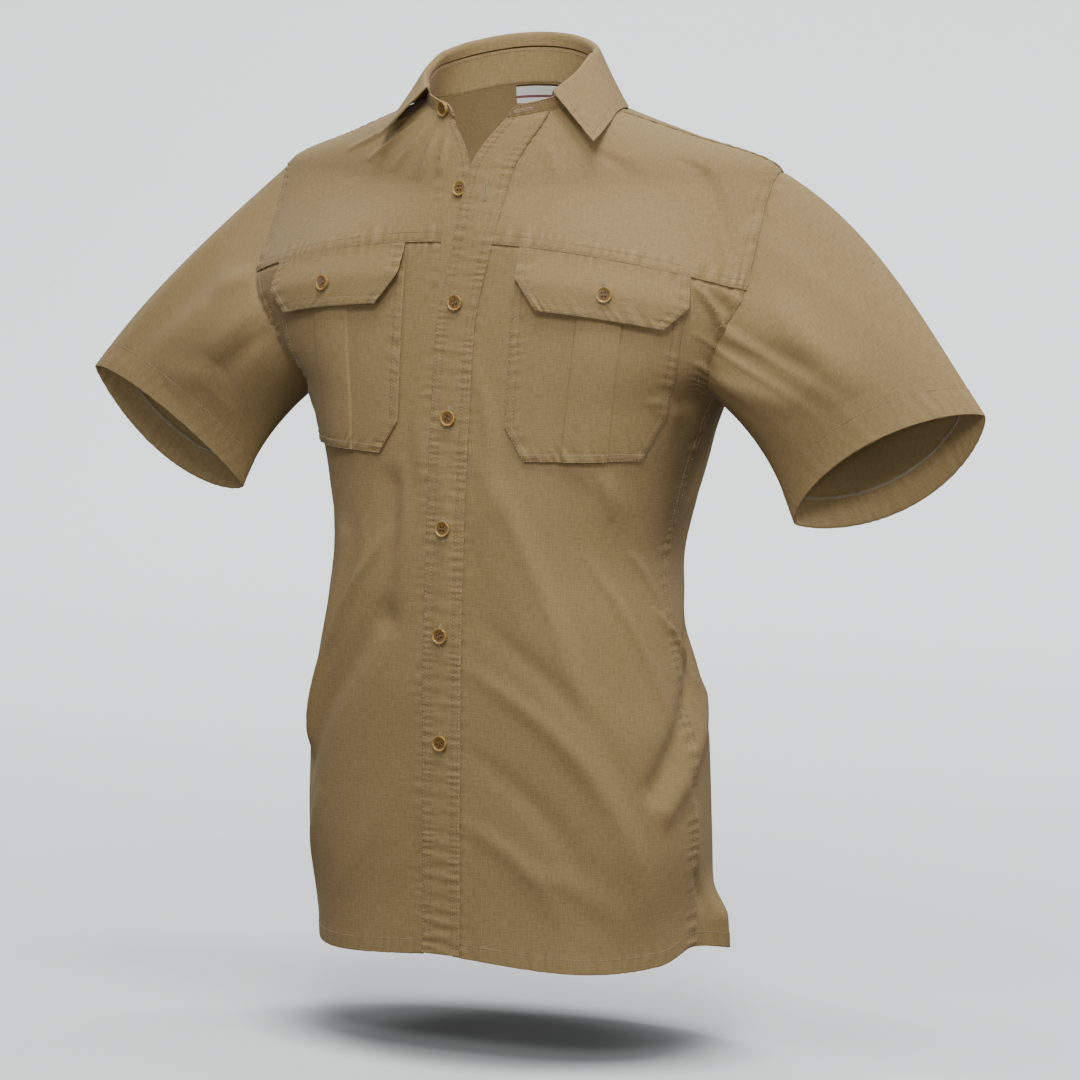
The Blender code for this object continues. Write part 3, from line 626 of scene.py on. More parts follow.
for side, name in SIDES:
    seams = (sewn("end", rows=DOUBLE_ROW, strip=0.0085, raised=0.0004, drawn=0.00065, reach=0.007)
             + sewn("foot", rows=(0.0120,), strip=0.0125, raised=0.0003, drawn=0.00030, reach=0.005)
             + sewn("top", drawn=0.00050, reach=0.009) + sewn("start", drawn=0.00045, reach=0.010))
    lay_cloth("front_" + name, grid_lines(0.20, start=False), lower_grid(0.0023, 0.0023),
              lower_front(side), side, seams, "hang", foot_fold=len(HEM_ROWS),
              top_fold=len(YOKE_TUCK))
    cut_piece("front_" + name)


# Lower back
# One piece of the same cloth from side seam to side seam. Its side edges run under the
# fronts, which are felled over them.

def lower_back(u, v):
    risen, inside = turn_up(v)
    rise, around = lower_rows(np.maximum(v, 0.0))
    across = np.clip(u, 0.0, 1.0)
    edge = np.maximum(armhole_turn(360.0 - around), 90.0)
    turn = edge + (360.0 - 2 * edge) * across
    level = lower_level(np.where(turn > 180.0, 360.0 - turn, turn), rise, around) + risen
    side_seam = soft_step((ARMPIT_LEVEL - level) / 0.004)
    past = (across - u) * 500.0 * side_seam
    near = np.minimum(across, 1.0 - across)
    side_tuck = side_seam * soft_step(1.0 - near / 0.004)
    under = TUCK_DEPTH * (side_tuck + soft_step((v - 0.990) / 0.010))
    return body(turn - past, level, CLOTH_OUT - under - inside)


seams = (sewn("start", "end", rows=DOUBLE_ROW, strip=0.0085, raised=0.0004, drawn=0.00040,
              reach=0.008, first=0.52)
         + sewn("foot", rows=(0.0120,), strip=0.0125, raised=0.0003, drawn=0.00030, reach=0.005)
         + sewn("top", drawn=0.00050, reach=0.009))
back_lines = np.concatenate([(-0.0035,), grid_lines(0.50, step=0.0036), (1.0035,)])
lay_cloth("back", back_lines, lower_grid(0.0031, 0.0030), lower_back, 1, seams, "hang_middle",
          foot_fold=len(HEM_ROWS), top_fold=len(YOKE_TUCK))
cut_piece("back")


# Yokes
# Two front yokes laid over the lower fronts along the chest seam, and a back yoke that comes
# over the shoulders and is laid over their upper edges. Double rows are sewn along each seam.

SHOULDER_SEAM_LEAD = 12.0


def yoke_rows(v):
    """Armhole angle from the yoke seam to the shoulder, then the way along to the neck."""
    around = 60.0 * np.clip(1.0 - v / 0.5, 0.0, 1.0)
    along = np.clip((v - 0.5) / 0.5, 0.0, 1.0)
    return around, along


def front_yoke(side):
    def place(u, v):
        around, along = yoke_rows(v)
        level = armhole_level(around) + (NECK_LEVEL - SHOULDER_LEVEL) * along
        start = turn_at(level, panel_start(side, level))
        shoulder = soft_step(along / 0.02)
        seam = 90.0 - SHOULDER_SEAM_LEAD * along
        end = np.minimum(armhole_turn(around), seam)
        past = np.maximum(u - 1.0, 0.0)
        turn = start + (end - start) * np.minimum(u, 1.0) + past * 400.0 * shoulder
        under = TUCK_DEPTH * shoulder * soft_step((u - 0.992) / 0.008)
        return body(side * turn, level, CLOTH_OUT + 0.0003 - under)
    return place


yoke_lines = np.concatenate([0.5 * grid_lines(0.055, end=False, step=0.0023),
                             0.5 + 0.5 * grid_lines(0.165, start=False, step=0.0026)[1:]])
for side, name in SIDES:
    seams = (sewn("end", rows=DOUBLE_ROW, strip=0.0085, raised=0.0005, drawn=0.00075, last=0.5)
             + sewn("foot", rows=DOUBLE_ROW, strip=0.0100, raised=0.0004, drawn=0.00070,
                    reach=0.007)
             + sewn("start", drawn=0.00045, reach=0.010)
             + sewn("end", drawn=0.00035, reach=0.010, first=0.52))
    lay_cloth("front_yoke_" + name, np.concatenate([grid_lines(0.19, start=False), (1.004,)]),
              yoke_lines, front_yoke(side), side, seams)
    cut_piece("front_yoke_" + name)


def back_yoke(u, v):
    around, along = yoke_rows(v)
    level = armhole_level(around) + (NECK_LEVEL - SHOULDER_LEVEL) * along
    seam = 90.0 - SHOULDER_SEAM_LEAD * along
    start = np.where(along > 0.0, seam, np.maximum(armhole_turn(360.0 - around), seam))
    return body(start + (360.0 - 2 * start) * u, level, CLOTH_OUT + 0.0003)


seams = (sewn("start", "end", rows=DOUBLE_ROW, strip=0.0085, raised=0.0005, drawn=0.00045)
         + sewn("foot", rows=DOUBLE_ROW, strip=0.0100, raised=0.0004, drawn=0.00045))
lay_cloth("back_yoke", grid_lines(0.46), yoke_lines, back_yoke, 1, seams, "middle")
cut_piece("back_yoke")


# Sleeves
# Short set-in sleeves, each one piece closed by a seam under the arm. The armhole edge of the
# body is turned over them, and the hem is turned up inside and overlocked at its raw edge.

SLEEVE_TOP = (0.425, -0.014, -0.248)
SLEEVE_LOW = (0.264, -0.022, -0.345)
SLEEVE_DEPTH = 0.074
SLEEVE_FORWARD = 0.10
SLEEVE_DROOP = 0.007
SLEEVE_PINCH = 0.5
SLEEVE_SPREAD = 0.25
SLEEVE_SLOPE_TOP = {1: 26.0, -1: 40.0}
SLEEVE_SLOPE_LOW = 32.0
CUFF_SLOPE_TOP = 53.0
CUFF_SLOPE_LOW = 70.0
SLEEVE_HEM = 0.026
CUFF_INSIDE = 0.0012


def between(start, end, start_way, end_way, t):
    """A smooth curve from one point to another, leaving and arriving along given ways."""
    t = t[..., None]
    return ((1 + 2 * t) * (1 - t) ** 2 * start + t * (1 - t) ** 2 * start_way
            + t * t * (3 - 2 * t) * end - t * t * (1 - t) * end_way)


def sleeve_hem(around):
    """Points of the left sleeve's hem, a pinched oval standing off the arm line."""
    top = np.array(SLEEVE_TOP)
    low = np.array(SLEEVE_LOW)
    half = (top - low) / 2
    down = unit(np.array([half[2], -SLEEVE_FORWARD, -half[0]]))
    deep = unit(np.cross(half, down)) * SLEEVE_DEPTH / 2
    deep = deep * -np.sign(deep[1])
    angle = np.radians(around)[..., None]
    droop = down * SLEEVE_DROOP * np.sin(angle) ** 2
    pinched = np.sin(angle) * np.abs(np.sin(angle)) ** SLEEVE_PINCH
    return (top + low) / 2 + half * np.cos(angle) + deep * pinched + droop


def sleeve(side):
    mirror = np.array([side, 1.0, 1.0])

    def place(u, v):
        around = 180.0 + 360.0 * u
        tucked = np.maximum(-v, 0.0)
        inside = np.maximum(v - 1.0, 0.0)
        edge, after, before = (body(side * armhole_turn(at), armhole_level(at % 360.0)) * mirror
                               for at in (around, around + 1.0, around - 1.0))
        run = unit(after - before)
        out = body_normal(side * armhole_turn(around), armhole_level(around % 360.0)) * mirror
        away = unit(np.cross(out, run))
        angle = np.radians(around)
        top = SLEEVE_SLOPE_TOP[side]
        slope = np.radians(top + (SLEEVE_SLOPE_LOW - top) * (1 - np.cos(angle)) / 2)
        spread = -SLEEVE_SPREAD * np.sin(angle)
        way = unit(np.stack([np.cos(slope), spread, -np.sin(slope)], axis=-1))
        end = sleeve_hem(around)
        reach = np.linalg.norm(end - edge, axis=-1, keepdims=True)
        gained = (CUFF_SLOPE_LOW - CUFF_SLOPE_TOP) * (1 - np.cos(angle)) / 2
        low = np.radians(CUFF_SLOPE_TOP + gained)
        arrive = np.stack([np.cos(low), 0 * low, -np.sin(low)], axis=-1)
        folded = np.clip(v, 0.0, 1.0) - inside / reach[..., 0]
        bend = np.sin(np.pi * np.clip(inside / HEM_BEND, 0, 1))
        folded = folded + HEM_BEND / 2 / reach[..., 0] * bend
        points = between(edge, end, way * reach, arrive * reach, folded)
        points = points - away * tucked[..., None]
        under = TUCK_DEPTH * soft_step(1.0 - np.maximum(v, 0.0) / 0.018)
        cuff = CUFF_INSIDE * soft_step(inside / HEM_BEND)
        centre = (np.array(SLEEVE_TOP) + np.array(SLEEVE_LOW)) / 2
        inward = unit(centre - end)
        points = points - out * under[..., None] + inward * cuff[..., None]
        return points * mirror
    return place


# Creases of a sleeve: degrees around it from the top, front first, and share of the way down,
# for each end; then width, height and lean
DEGREE_ROUND_SLEEVE = 0.00122
SLEEVE_LENGTH = 0.21
SLEEVE_CREASES = {
    "left": (
        (55.0, 0.10, 75.0, 0.75, 0.012, 0.0030, 0.8),
        (95.0, 0.00, 80.0, 0.55, 0.012, -0.0035, 0.4),
        (120.0, 0.05, 105.0, 0.60, 0.010, 0.0030, 0.8),
        (20.0, 0.45, 35.0, 0.85, 0.016, 0.0015, 0.4),
        (5.0, 0.55, 15.0, 0.95, 0.012, -0.0012, 0.0),
        (240.0, 0.05, 260.0, 0.75, 0.014, 0.0030, 0.7),
        (280.0, 0.05, 285.0, 0.70, 0.014, -0.0025, 0.3),
        (315.0, 0.30, 320.0, 0.90, 0.016, 0.0016, 0.4),
    ),
    "right": (
        (20.0, 0.10, 35.0, 0.90, 0.011, 0.0030, 0.9),
        (45.0, 0.25, 50.0, 0.95, 0.012, -0.0028, 0.3),
        (60.0, 0.00, 50.0, 0.30, 0.006, 0.0026, 1.0),
        (75.0, 0.00, 95.0, 0.50, 0.010, 0.0030, 0.8),
        (95.0, 0.05, 115.0, 0.65, 0.012, -0.0030, 0.4),
        (110.0, 0.50, 80.0, 0.85, 0.014, 0.0020, 0.6),
        (240.0, 0.05, 262.0, 0.75, 0.014, 0.0030, 0.7),
        (285.0, 0.05, 285.0, 0.70, 0.014, -0.0025, 0.3),
        (325.0, 0.30, 330.0, 0.90, 0.016, 0.0016, 0.4),
    ),
}


def sleeve_folds(rows):
    def height(u, v):
        around = (180.0 + 360.0 * u) % 360.0
        total = np.zeros(u.shape)
        for start_turn, start, end_turn, end, width, peak, lean in rows:
            run = np.array([(end_turn - start_turn) * DEGREE_ROUND_SLEEVE,
                            (end - start) * SLEEVE_LENGTH])
            size = np.hypot(*run)
            off = (around - start_turn + 180.0) % 360.0 - 180.0
            way_x = off * DEGREE_ROUND_SLEEVE
            way_y = (np.clip(v, 0.0, 1.0) - start) * SLEEVE_LENGTH
            along = (way_x * run[0] + way_y * run[1]) / size ** 2
            away = (way_x * run[1] - way_y * run[0]) / size
            fade = np.sin(np.pi * np.clip(along, 0.0, 1.0)) ** 0.7
            spread = away / (width * (0.8 + 0.5 * np.clip(along, 0.0, 1.0)))
            total = total + peak * fade * (1.0 + lean * spread) * np.exp(-spread ** 2)
        return total * soft_step(v / 0.05)
    return height


CUFF_ROWS = (1.0004, 1.0008, 1.002, 1.007, 1.013, 1.020, 1.0 + SLEEVE_HEM)
sleeve_lines = np.concatenate([(-0.004, 0.0, 0.008, 0.018), evenly(0.03, 0.85, 58),
                               0.85 + 0.15 * grid_lines(0.032, start=False)[1:], CUFF_ROWS])
for side, name in SIDES:
    seams = (sewn("foot", drawn=0.00035, reach=0.014)
             + sewn("top", rows=(0.025,), strip=0.025, raised=0.0003, drawn=0.00030))
    lay_cloth("sleeve_" + name, evenly(0.0, 1.0, 156), sleeve_lines, sleeve(side), side, seams,
              "middle", extra=sleeve_folds(SLEEVE_CREASES[name]), tube=True,
              top_fold=len(CUFF_ROWS))
    cut_piece("sleeve_" + name)


# Plackets
# The buttonhole band is a folded strip sewn over the left front's edge. The button band is the
# right front's own edge, turned under, and shows only where the neck stands open.

ROLL_COLUMNS = ("level", "lift")
BAND_ROLL = (
    (-0.760, 0.000),
    (-0.135, 0.000),
    (-0.105, 0.002),
    (-0.080, 0.004),
    (-0.050, 0.006),
    (-0.025, 0.006),
)
BAND_OUT = 0.0022
BAND_WALL = 0.0010
BAND_LENGTH = 0.694
BAND_WAVE = 0.00022


def band(side):
    def place(u, v):
        low = hem_level(0.0)
        level = low + (NECK_LEVEL - low) * v
        if side > 0:
            across = opening("left_edge", level) + BAND_WIDTH * u
            roll = column(BAND_ROLL, ROLL_COLUMNS, "lift", level) * (1.0 - u)
            return body(turn_at(level, across), level, BAND_OUT + roll)
        across = opening("right_edge", level) - UNDER_BAND * (1.0 - u)
        return body(turn_at(level, across), level, CLOTH_OUT)
    return place


def band_waves(u, v):
    """Wash has drawn the buttonhole band up between its rows, most of all near the hem."""
    length = v * BAND_LENGTH
    low = 1.0 + 1.2 * soft_step((0.17 - v) / 0.10)
    waves = np.sin(length / 0.0021 + 1.3 * np.sin(length / 0.031) + 1.5 * (u - 0.5))
    return BAND_WAVE * low * waves * (0.7 + 0.3 * np.sin(length / 0.011)) * np.sin(np.pi * u) ** 0.5


band_lines = evenly(0.0, 1.0, 560)
seams = sewn("start", "end", rows=NARROW_ROW, strip=0.0070, raised=0.0003, drawn=0.00034,
             reach=0.0045)
lay_cloth("placket_left", grid_lines(BAND_WIDTH), band_lines, band(1), 1, seams, wall=BAND_WALL,
          laid=("start", "end"), extra=band_waves, spacing=0.00105)
cut_piece("placket_left")
seams = sewn("end", rows=NARROW_ROW, strip=0.0070, raised=0.0003, drawn=0.00040, reach=0.008)
lay_cloth("placket_right", grid_lines(UNDER_BAND, start=False), evenly(0.0, 1.0, 280),
          band(-1), 1, seams, wall=BAND_WALL)
cut_piece("placket_right")


# Collar
# A stand round the neck, and a leaf folded over it with two points. Both are doubled over a
# stiffener, with a row of stitches 6 mm in from the leaf's edge.

COLLAR_COLUMNS = ("turn", "stand_up", "fold_up", "fold_out", "edge_turn", "edge_out", "edge_up")
COLLAR = (
    (46.0, 0.013, 0.018, 0.0030, 60.0, 0.040, -0.029),
    (60.0, 0.019, 0.026, 0.0000, 73.0, 0.029, -0.0158),
    (75.0, 0.025, 0.034, -0.0070, 83.0, 0.023, -0.0074),
    (90.0, 0.029, 0.040, -0.0110, 94.0, 0.021, -0.0044),
    (130.0, 0.031, 0.043, -0.0075, 130.0, 0.020, -0.0052),
    (180.0, 0.031, 0.043, -0.0010, 180.0, 0.021, -0.005),
)
STAND_END = 0.0265
STAND_ROUND = 0.009
COLLAR_WALL = 0.0014
FOLD_WIDTH = 0.0052


def neckline(turn):
    """Points of the neckline, and the level outward direction at each."""
    point = body(turn, np.full(np.shape(turn), NECK_LEVEL), 0.0)
    ahead = body_shape(turn + 0.5, NECK_LEVEL) - body_shape(turn - 0.5, NECK_LEVEL)
    return point, unit(np.stack([ahead[..., 1], -ahead[..., 0], 0 * ahead[..., 0]], axis=-1))


def collar(name, turn):
    folded = np.where(turn > 180.0, 360.0 - turn, turn)
    return column(COLLAR, COLLAR_COLUMNS, name, folded)


def lifted(turn, out, up):
    """A point out from and above the neckline."""
    point, outward = neckline(turn)
    return point + outward * out[..., None] + np.array([0.0, 0.0, 1.0]) * up[..., None]


def stand(u, v):
    start = turn_at(NECK_LEVEL, STAND_END)
    turn = start + (360.0 - 2 * start) * u
    rise = collar("stand_up", turn)
    out = collar("fold_out", turn) * v * rise / collar("fold_up", turn)
    corner = np.clip(1.0 - np.minimum(u, 1.0 - u) * 0.42 / STAND_ROUND, 0.0, 1.0)
    up = 0.0009 + (rise - 0.0015) * v * (0.25 + 0.75 * np.sqrt(1.0 - corner ** 2))
    return lifted(turn, out, up)


def leaf(u, v):
    """The leaf: up from the stand, over the fold and down to its edge, on a smooth curve."""
    first = COLLAR[0][0]
    turn = first + (360.0 - 2 * first) * u
    rise = collar("stand_up", turn)
    fold = collar("fold_up", turn)
    lean = collar("fold_out", turn)
    edge_turn = collar("edge_turn", turn)
    edge_turn = np.where(turn > 180.0, 360.0 - edge_turn, edge_turn)
    seam = lifted(turn, lean * rise / fold, rise + 0.0009)
    inner = lifted(turn, lean, fold - FOLD_WIDTH / 2)
    crest = lifted(turn, lean + FOLD_WIDTH / 2, fold)
    outer = lifted(turn, lean + FOLD_WIDTH, fold - FOLD_WIDTH / 2)
    edge = lifted(edge_turn, collar("edge_out", turn), collar("edge_up", turn))
    stations = np.stack([seam, inner, crest, outer, outer + (edge - outer) * 0.33,
                         outer + (edge - outer) * 0.67, edge])
    spans = np.linalg.norm(np.diff(stations, axis=0), axis=-1)
    marks = np.concatenate([np.zeros((1, len(v))), np.cumsum(spans, axis=0)]) / spans.sum(axis=0)
    pick = np.arange(len(v))
    low = np.clip((v[None, :] >= marks[1:-1]).sum(axis=0), 0, len(spans) - 1)
    before = np.maximum(low - 1, 0)
    after = np.minimum(low + 2, len(spans))
    here, there = stations[low, pick], stations[low + 1, pick]
    span = (marks[low + 1, pick] - marks[low, pick])[:, None]
    start_span = (marks[low + 1, pick] - marks[before, pick])[:, None]
    end_span = (marks[after, pick] - marks[low, pick])[:, None]
    start_way = (there - stations[before, pick]) / start_span
    end_way = (stations[after, pick] - here) / end_span
    t = (v - marks[low, pick]) / span[:, 0]
    return between(here, there, start_way * span, end_way * span, t)


seams = sewn("foot", rows=(0.0015,), drawn=0.00030) + sewn("top", rows=(0.0020,), drawn=0.00025)
lay_cloth("collar_stand", grid_lines(0.42), grid_lines(0.029, step=0.002), stand, 1, seams,
          wall=COLLAR_WALL)
cut_piece("collar_stand")
seams = (sewn("top", rows=(0.0060,), strip=0.0060, raised=0.0003, drawn=0.00030)
         + sewn("start", "end", rows=(0.0060,), strip=0.0060, raised=0.0003, drawn=0.00030,
                first=0.35))
lay_cloth("collar_leaf", grid_lines(0.43), grid_lines(0.072, start=False, step=0.0015), leaf, -1,
          seams, wall=COLLAR_WALL)
cut_piece("collar_leaf")


# Pockets and flaps
# Two patch pockets with cut corners and a box pleat, and over each a doubled flap with cut
# corners, caught in the chest seam and closed by one button.

POCKET_TOP = -0.143
POCKET_FOOT = -0.303
POCKET_INNER = (0.052, 0.050)
POCKET_OUTER = (0.196, 0.183)
POCKET_CHAMFER = 0.018
POCKET_OUT = 0.0029
PLEAT_INNER = (0.109, 0.098)
PLEAT_WIDTH = 0.039
PLEAT_RAISE = 0.0016
PLEAT_CROWN = 0.0010
POCKET_SLACK = 0.0016
FLAP_INNER = 0.054
FLAP_OUTER = 0.198
FLAP_DROP = 0.051
FLAP_CHAMFER = 0.020
FLAP_CAUGHT = 0.0020
FLAP_CLEAR = 0.0083
FLAP_STAND = 0.0020
FLAP_WALL = 0.0013


def pocket(side):
    def place(u, v):
        station = 3.0 * u
        fall = 1.0 - v
        cut = np.clip((fall - 0.83) / 0.17, 0.0, 1.0) * POCKET_CHAMFER
        level = POCKET_TOP + (POCKET_FOOT - POCKET_TOP) * fall
        inner = POCKET_INNER[0] + (POCKET_INNER[1] - POCKET_INNER[0]) * fall + cut
        outer = POCKET_OUTER[0] + (POCKET_OUTER[1] - POCKET_OUTER[0]) * fall - cut
        pleat = PLEAT_INNER[0] + (PLEAT_INNER[1] - PLEAT_INNER[0]) * fall
        across = np.where(station < 1.0, inner + (pleat - inner) * station,
                          pleat + PLEAT_WIDTH * (station - 1.0))
        beyond = outer + (pleat + PLEAT_WIDTH - outer) * (3.0 - station)
        across = np.where(station > 2.0, beyond, across)
        pleated = np.clip(station - 1.0, 0.0, 1.0)
        raised = soft_step((station - 1.0) / 0.035) * soft_step((2.0 - station) / 0.035)
        crown = PLEAT_CROWN * np.sin(np.pi * pleated)
        slack = POCKET_SLACK * np.sin(np.pi * u) * np.sin(np.pi * np.clip(v, 0.0, 1.0))
        out = POCKET_OUT + (PLEAT_RAISE + crown) * raised + slack
        return body(side * turn_at(level, across), level, out)
    return place


def flap(side):
    def place(u, v):
        fall = 1.0 - v
        cut = np.clip((fall - 0.5) / 0.5, 0.0, 1.0) * FLAP_CHAMFER
        level = YOKE_LEVEL - 0.0006 - FLAP_DROP * fall
        across = FLAP_INNER + cut + (FLAP_OUTER - FLAP_INNER - 2 * cut) * u
        ease = soft_step(fall / 0.60)
        out = FLAP_CAUGHT + (FLAP_CLEAR - FLAP_CAUGHT) * ease + FLAP_STAND * fall
        return body(side * turn_at(level, across), level, out)
    return place


third = grid_lines(0.052)
pocket_columns = np.concatenate([third, 1.0 + third[1:], 2.0 + third[1:]]) / 3.0
pocket_rows = grid_lines(0.160, end=False, step=0.0023)
loose_edges = ("start", "end", "foot")
seams = sewn(*loose_edges, rows=NARROW_ROW, strip=0.0070, raised=0.0004, drawn=0.00045)
for side, name in SIDES:
    lay_cloth("pocket_" + name, pocket_columns, pocket_rows, pocket(side), side, seams,
              laid=loose_edges, drop=0.0014)
    cut_piece("pocket_" + name)
    lay_cloth("flap_" + name, grid_lines(0.140, step=0.0023), grid_lines(0.053, step=0.0020),
              flap(side), side, seams + sewn("top", drawn=0.00050, reach=0.008), wall=FLAP_WALL,
              laid=loose_edges, drop=0.0004)
    cut_piece("flap_" + name)


# Neck label
# A small woven label with a plain muted stripe, sewn into the neck seam at the centre back and
# free at its foot. It carries no words.

LABEL_WIDTH = 0.045
LABEL_TOP = -0.0262
LABEL_FOOT = -0.0385
LABEL_LENGTH = 0.022
LABEL_RIB = 0.0007
LABEL_WALL = 0.0005
NECK_RADIUS = 0.070


def label(u, v):
    level = LABEL_FOOT + (LABEL_TOP - LABEL_FOOT) * v
    turn = 180.0 + (u - 0.5) * np.degrees(LABEL_WIDTH / NECK_RADIUS)
    return body(turn, level, -0.0016 - 0.0016 * (1.0 - v) ** 2)


def woven_tape():
    """White polyester tape with a fine rib and one muted stripe along it."""
    material, nodes, links, shader = new_finish("label_tape", 0.55)
    cloth = nodes.new("ShaderNodeUVMap")
    cloth.uv_map = "weave"
    split = nodes.new("ShaderNodeSeparateXYZ")
    links.new(cloth.outputs["UV"], split.inputs["Vector"])
    stripe = nodes.new("ShaderNodeValToRGB")
    stripe.color_ramp.interpolation = "CONSTANT"
    stripe.color_ramp.elements[0].color = (0.74, 0.73, 0.70, 1.0)
    stripe.color_ramp.elements[1].position = 0.30
    stripe.color_ramp.elements[1].color = (0.20, 0.07, 0.06, 1.0)
    upper = stripe.color_ramp.elements.new(0.46)
    upper.color = (0.74, 0.73, 0.70, 1.0)
    height = nodes.new("ShaderNodeMath")
    height.operation = "MULTIPLY"
    height.inputs[1].default_value = 1.0 / LABEL_LENGTH
    links.new(split.outputs["Y"], height.inputs[0])
    links.new(height.outputs["Value"], stripe.inputs["Fac"])
    links.new(stripe.outputs["Color"], shader.inputs["Base Color"])
    rib = nodes.new("ShaderNodeTexWave")
    rib.bands_direction = "X"
    rib.inputs["Scale"].default_value = BAND_PER_SCALE / LABEL_RIB
    links.new(cloth.outputs["UV"], rib.inputs["Vector"])
    raise_grain(nodes, links, rib.outputs["Fac"], 0.3, shader)
    return material


lay_cloth("neck_label", evenly(0.0, 1.0, 30), evenly(0.0, 1.0, 14), label, -1, (), wall=LABEL_WALL)
cut_piece("neck_label", woven_tape())


# Buttons
# Four-hole buttons of brown horn-like plastic, the rim painted paler as a highlight: six down the
# front, one on the stand and one on each flap. The front opening's top two are left undone.

BUTTON_RADIUS = 0.0066
BUTTON_THICK = 0.0030
BUTTON_RIM = 0.0013
BUTTON_DISH = 0.0008
HOLE_RADIUS = 0.00095
HOLE_OUT = 0.0014
BUTTON_GAP = 0.00275
BAND_SEAT = 0.0020
FLAP_SEAT = 0.0082
STAND_SEAT = 0.0028
FRONT_BUTTONS = (-0.0800, -0.1742, -0.2695, -0.3610, -0.4500, -0.5400)
BUTTON_1_ARC = -0.0075
POCKET_BUTTON = (0.130, 0.030)
STAND_BUTTON = (0.974, 0.55)


def horn(name, colour, dark):
    """Moulded plastic streaked like horn, with a soft polish."""
    material, nodes, links, shader = new_finish(name, 0.36)
    shader.inputs["Coat Weight"].default_value = 0.10
    where = nodes.new("ShaderNodeTexCoord")
    stretch = nodes.new("ShaderNodeMapping")
    stretch.inputs["Scale"].default_value = (120.0, 120.0, 420.0)
    stretch.inputs["Rotation"].default_value = (0.4, 0.3, 0.8)
    links.new(where.outputs["Object"], stretch.inputs["Vector"])
    streaks = speckle(nodes, links, stretch.outputs["Vector"], 1.6, 4.0)
    streaked = blend(nodes, links, (*dark, 1.0), (*colour, 1.0), streaks)
    links.new(streaked, shader.inputs["Base Color"])
    return material


def choose_faces(piece, wanted):
    """Select the faces of the piece in hand that the test picks out, ready to shape them."""
    bpy.ops.object.mode_set(mode="EDIT")
    bpy.context.tool_settings.mesh_select_mode = (False, False, True)
    bpy.ops.mesh.select_all(action="DESELECT")
    bpy.ops.object.mode_set(mode="OBJECT")
    for face in piece.data.polygons:
        face.select = wanted(face)
    bpy.ops.object.mode_set(mode="EDIT")


bpy.ops.object.select_all(action="DESELECT")
bpy.ops.mesh.primitive_cylinder_add(vertices=40, radius=BUTTON_RADIUS, depth=BUTTON_THICK)
blank = bpy.context.object
blank.name = "button_blank"
choose_faces(blank, lambda face: face.normal.z > 0.9)
bpy.ops.mesh.inset(thickness=BUTTON_RIM * 0.6, depth=0.0)
bpy.ops.mesh.inset(thickness=BUTTON_RIM * 0.6, depth=-BUTTON_DISH)
bpy.ops.object.mode_set(mode="OBJECT")
soften = blank.modifiers.new("soften", "BEVEL")
soften.width = 0.00045
soften.segments = 3
soften.limit_method = "ANGLE"
bpy.ops.object.modifier_apply(modifier="soften")
bpy.ops.object.select_all(action="DESELECT")
drills = []
for x, y in ((1, 1), (1, -1), (-1, 1), (-1, -1)):
    bpy.ops.mesh.primitive_cylinder_add(vertices=14, radius=HOLE_RADIUS, depth=0.010,
                                        location=(x * HOLE_OUT, y * HOLE_OUT, 0.0))
    drills.append(bpy.context.object)
for drill in drills:
    drill.select_set(True)
bpy.ops.object.join()
drill = bpy.context.object
bpy.ops.object.select_all(action="DESELECT")
blank.select_set(True)
bpy.context.view_layer.objects.active = blank
holes = blank.modifiers.new("holes", "BOOLEAN")
holes.operation = "DIFFERENCE"
holes.solver = "EXACT"
holes.object = drill
bpy.ops.object.modifier_apply(modifier="holes")
bpy.ops.object.shade_smooth_by_angle(angle=math.radians(35.0))
bpy.data.objects.remove(drill, do_unlink=True)
blank.data.materials.append(horn("horn_middle", (0.240, 0.130, 0.035), (0.085, 0.040, 0.010)))
# Painted highlight: the rim's finish is painted paler than the dished middle.
blank.data.materials.append(horn("horn_rim_painted_highlight", (0.52, 0.320, 0.080), (0.17, 0.085, 0.018)))
for face in blank.data.polygons:
    painted_highlight_rim = math.hypot(face.center.x, face.center.y) > BUTTON_RADIUS - BUTTON_RIM * 1.25
    face.material_index = int(painted_highlight_rim)

button_places = {}
turn = turn_at(FRONT_BUTTONS[0], BUTTON_1_ARC)
button_places["button_front_1"] = (body(turn, FRONT_BUTTONS[0], BUTTON_GAP),
                                   body_normal(turn, FRONT_BUTTONS[0]))
for number, level in enumerate(FRONT_BUTTONS[1:], start=2):
    button_places["button_front_%d" % number] = (body(0.0, level, BAND_SEAT + BUTTON_GAP),
                                                 body_normal(0.0, level))
flap_level = YOKE_LEVEL - POCKET_BUTTON[1]
for side, name in SIDES:
    turn = side * turn_at(flap_level, POCKET_BUTTON[0])
    raised = FLAP_SEAT + FLAP_STAND * POCKET_BUTTON[1] / FLAP_DROP
    button_places["button_pocket_" + name] = (body(turn, flap_level, raised + BUTTON_GAP),
                                              body_normal(turn, flap_level))
spot, beside, above = stand(STAND_BUTTON[0] + np.array([0.0, 0.01, 0.0]),
                            STAND_BUTTON[1] + np.array([0.0, 0.0, 0.1]))
way = unit(np.cross(beside - spot, above - spot))
button_places["button_stand"] = (spot + way * STAND_SEAT, way)
button_frames = {}
for number, (name, (place, way)) in enumerate(button_places.items()):
    button = blank.copy()
    button.data = blank.data.copy()
    button.name = name + "_horn"
    bpy.context.scene.collection.objects.link(button)
    turned = Vector(way).to_track_quat("Z", "Y").to_matrix().to_4x4()
    spun = turned @ Matrix.Rotation(0.5 * math.sin(2.1 * number), 4, "Z")
    button_frames[name] = Matrix.Translation(Vector(place)) @ spun
    button.data.transform(button_frames[name])
    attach(button, "root")
    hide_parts(name)
bpy.data.objects.remove(blank, do_unlink=True)


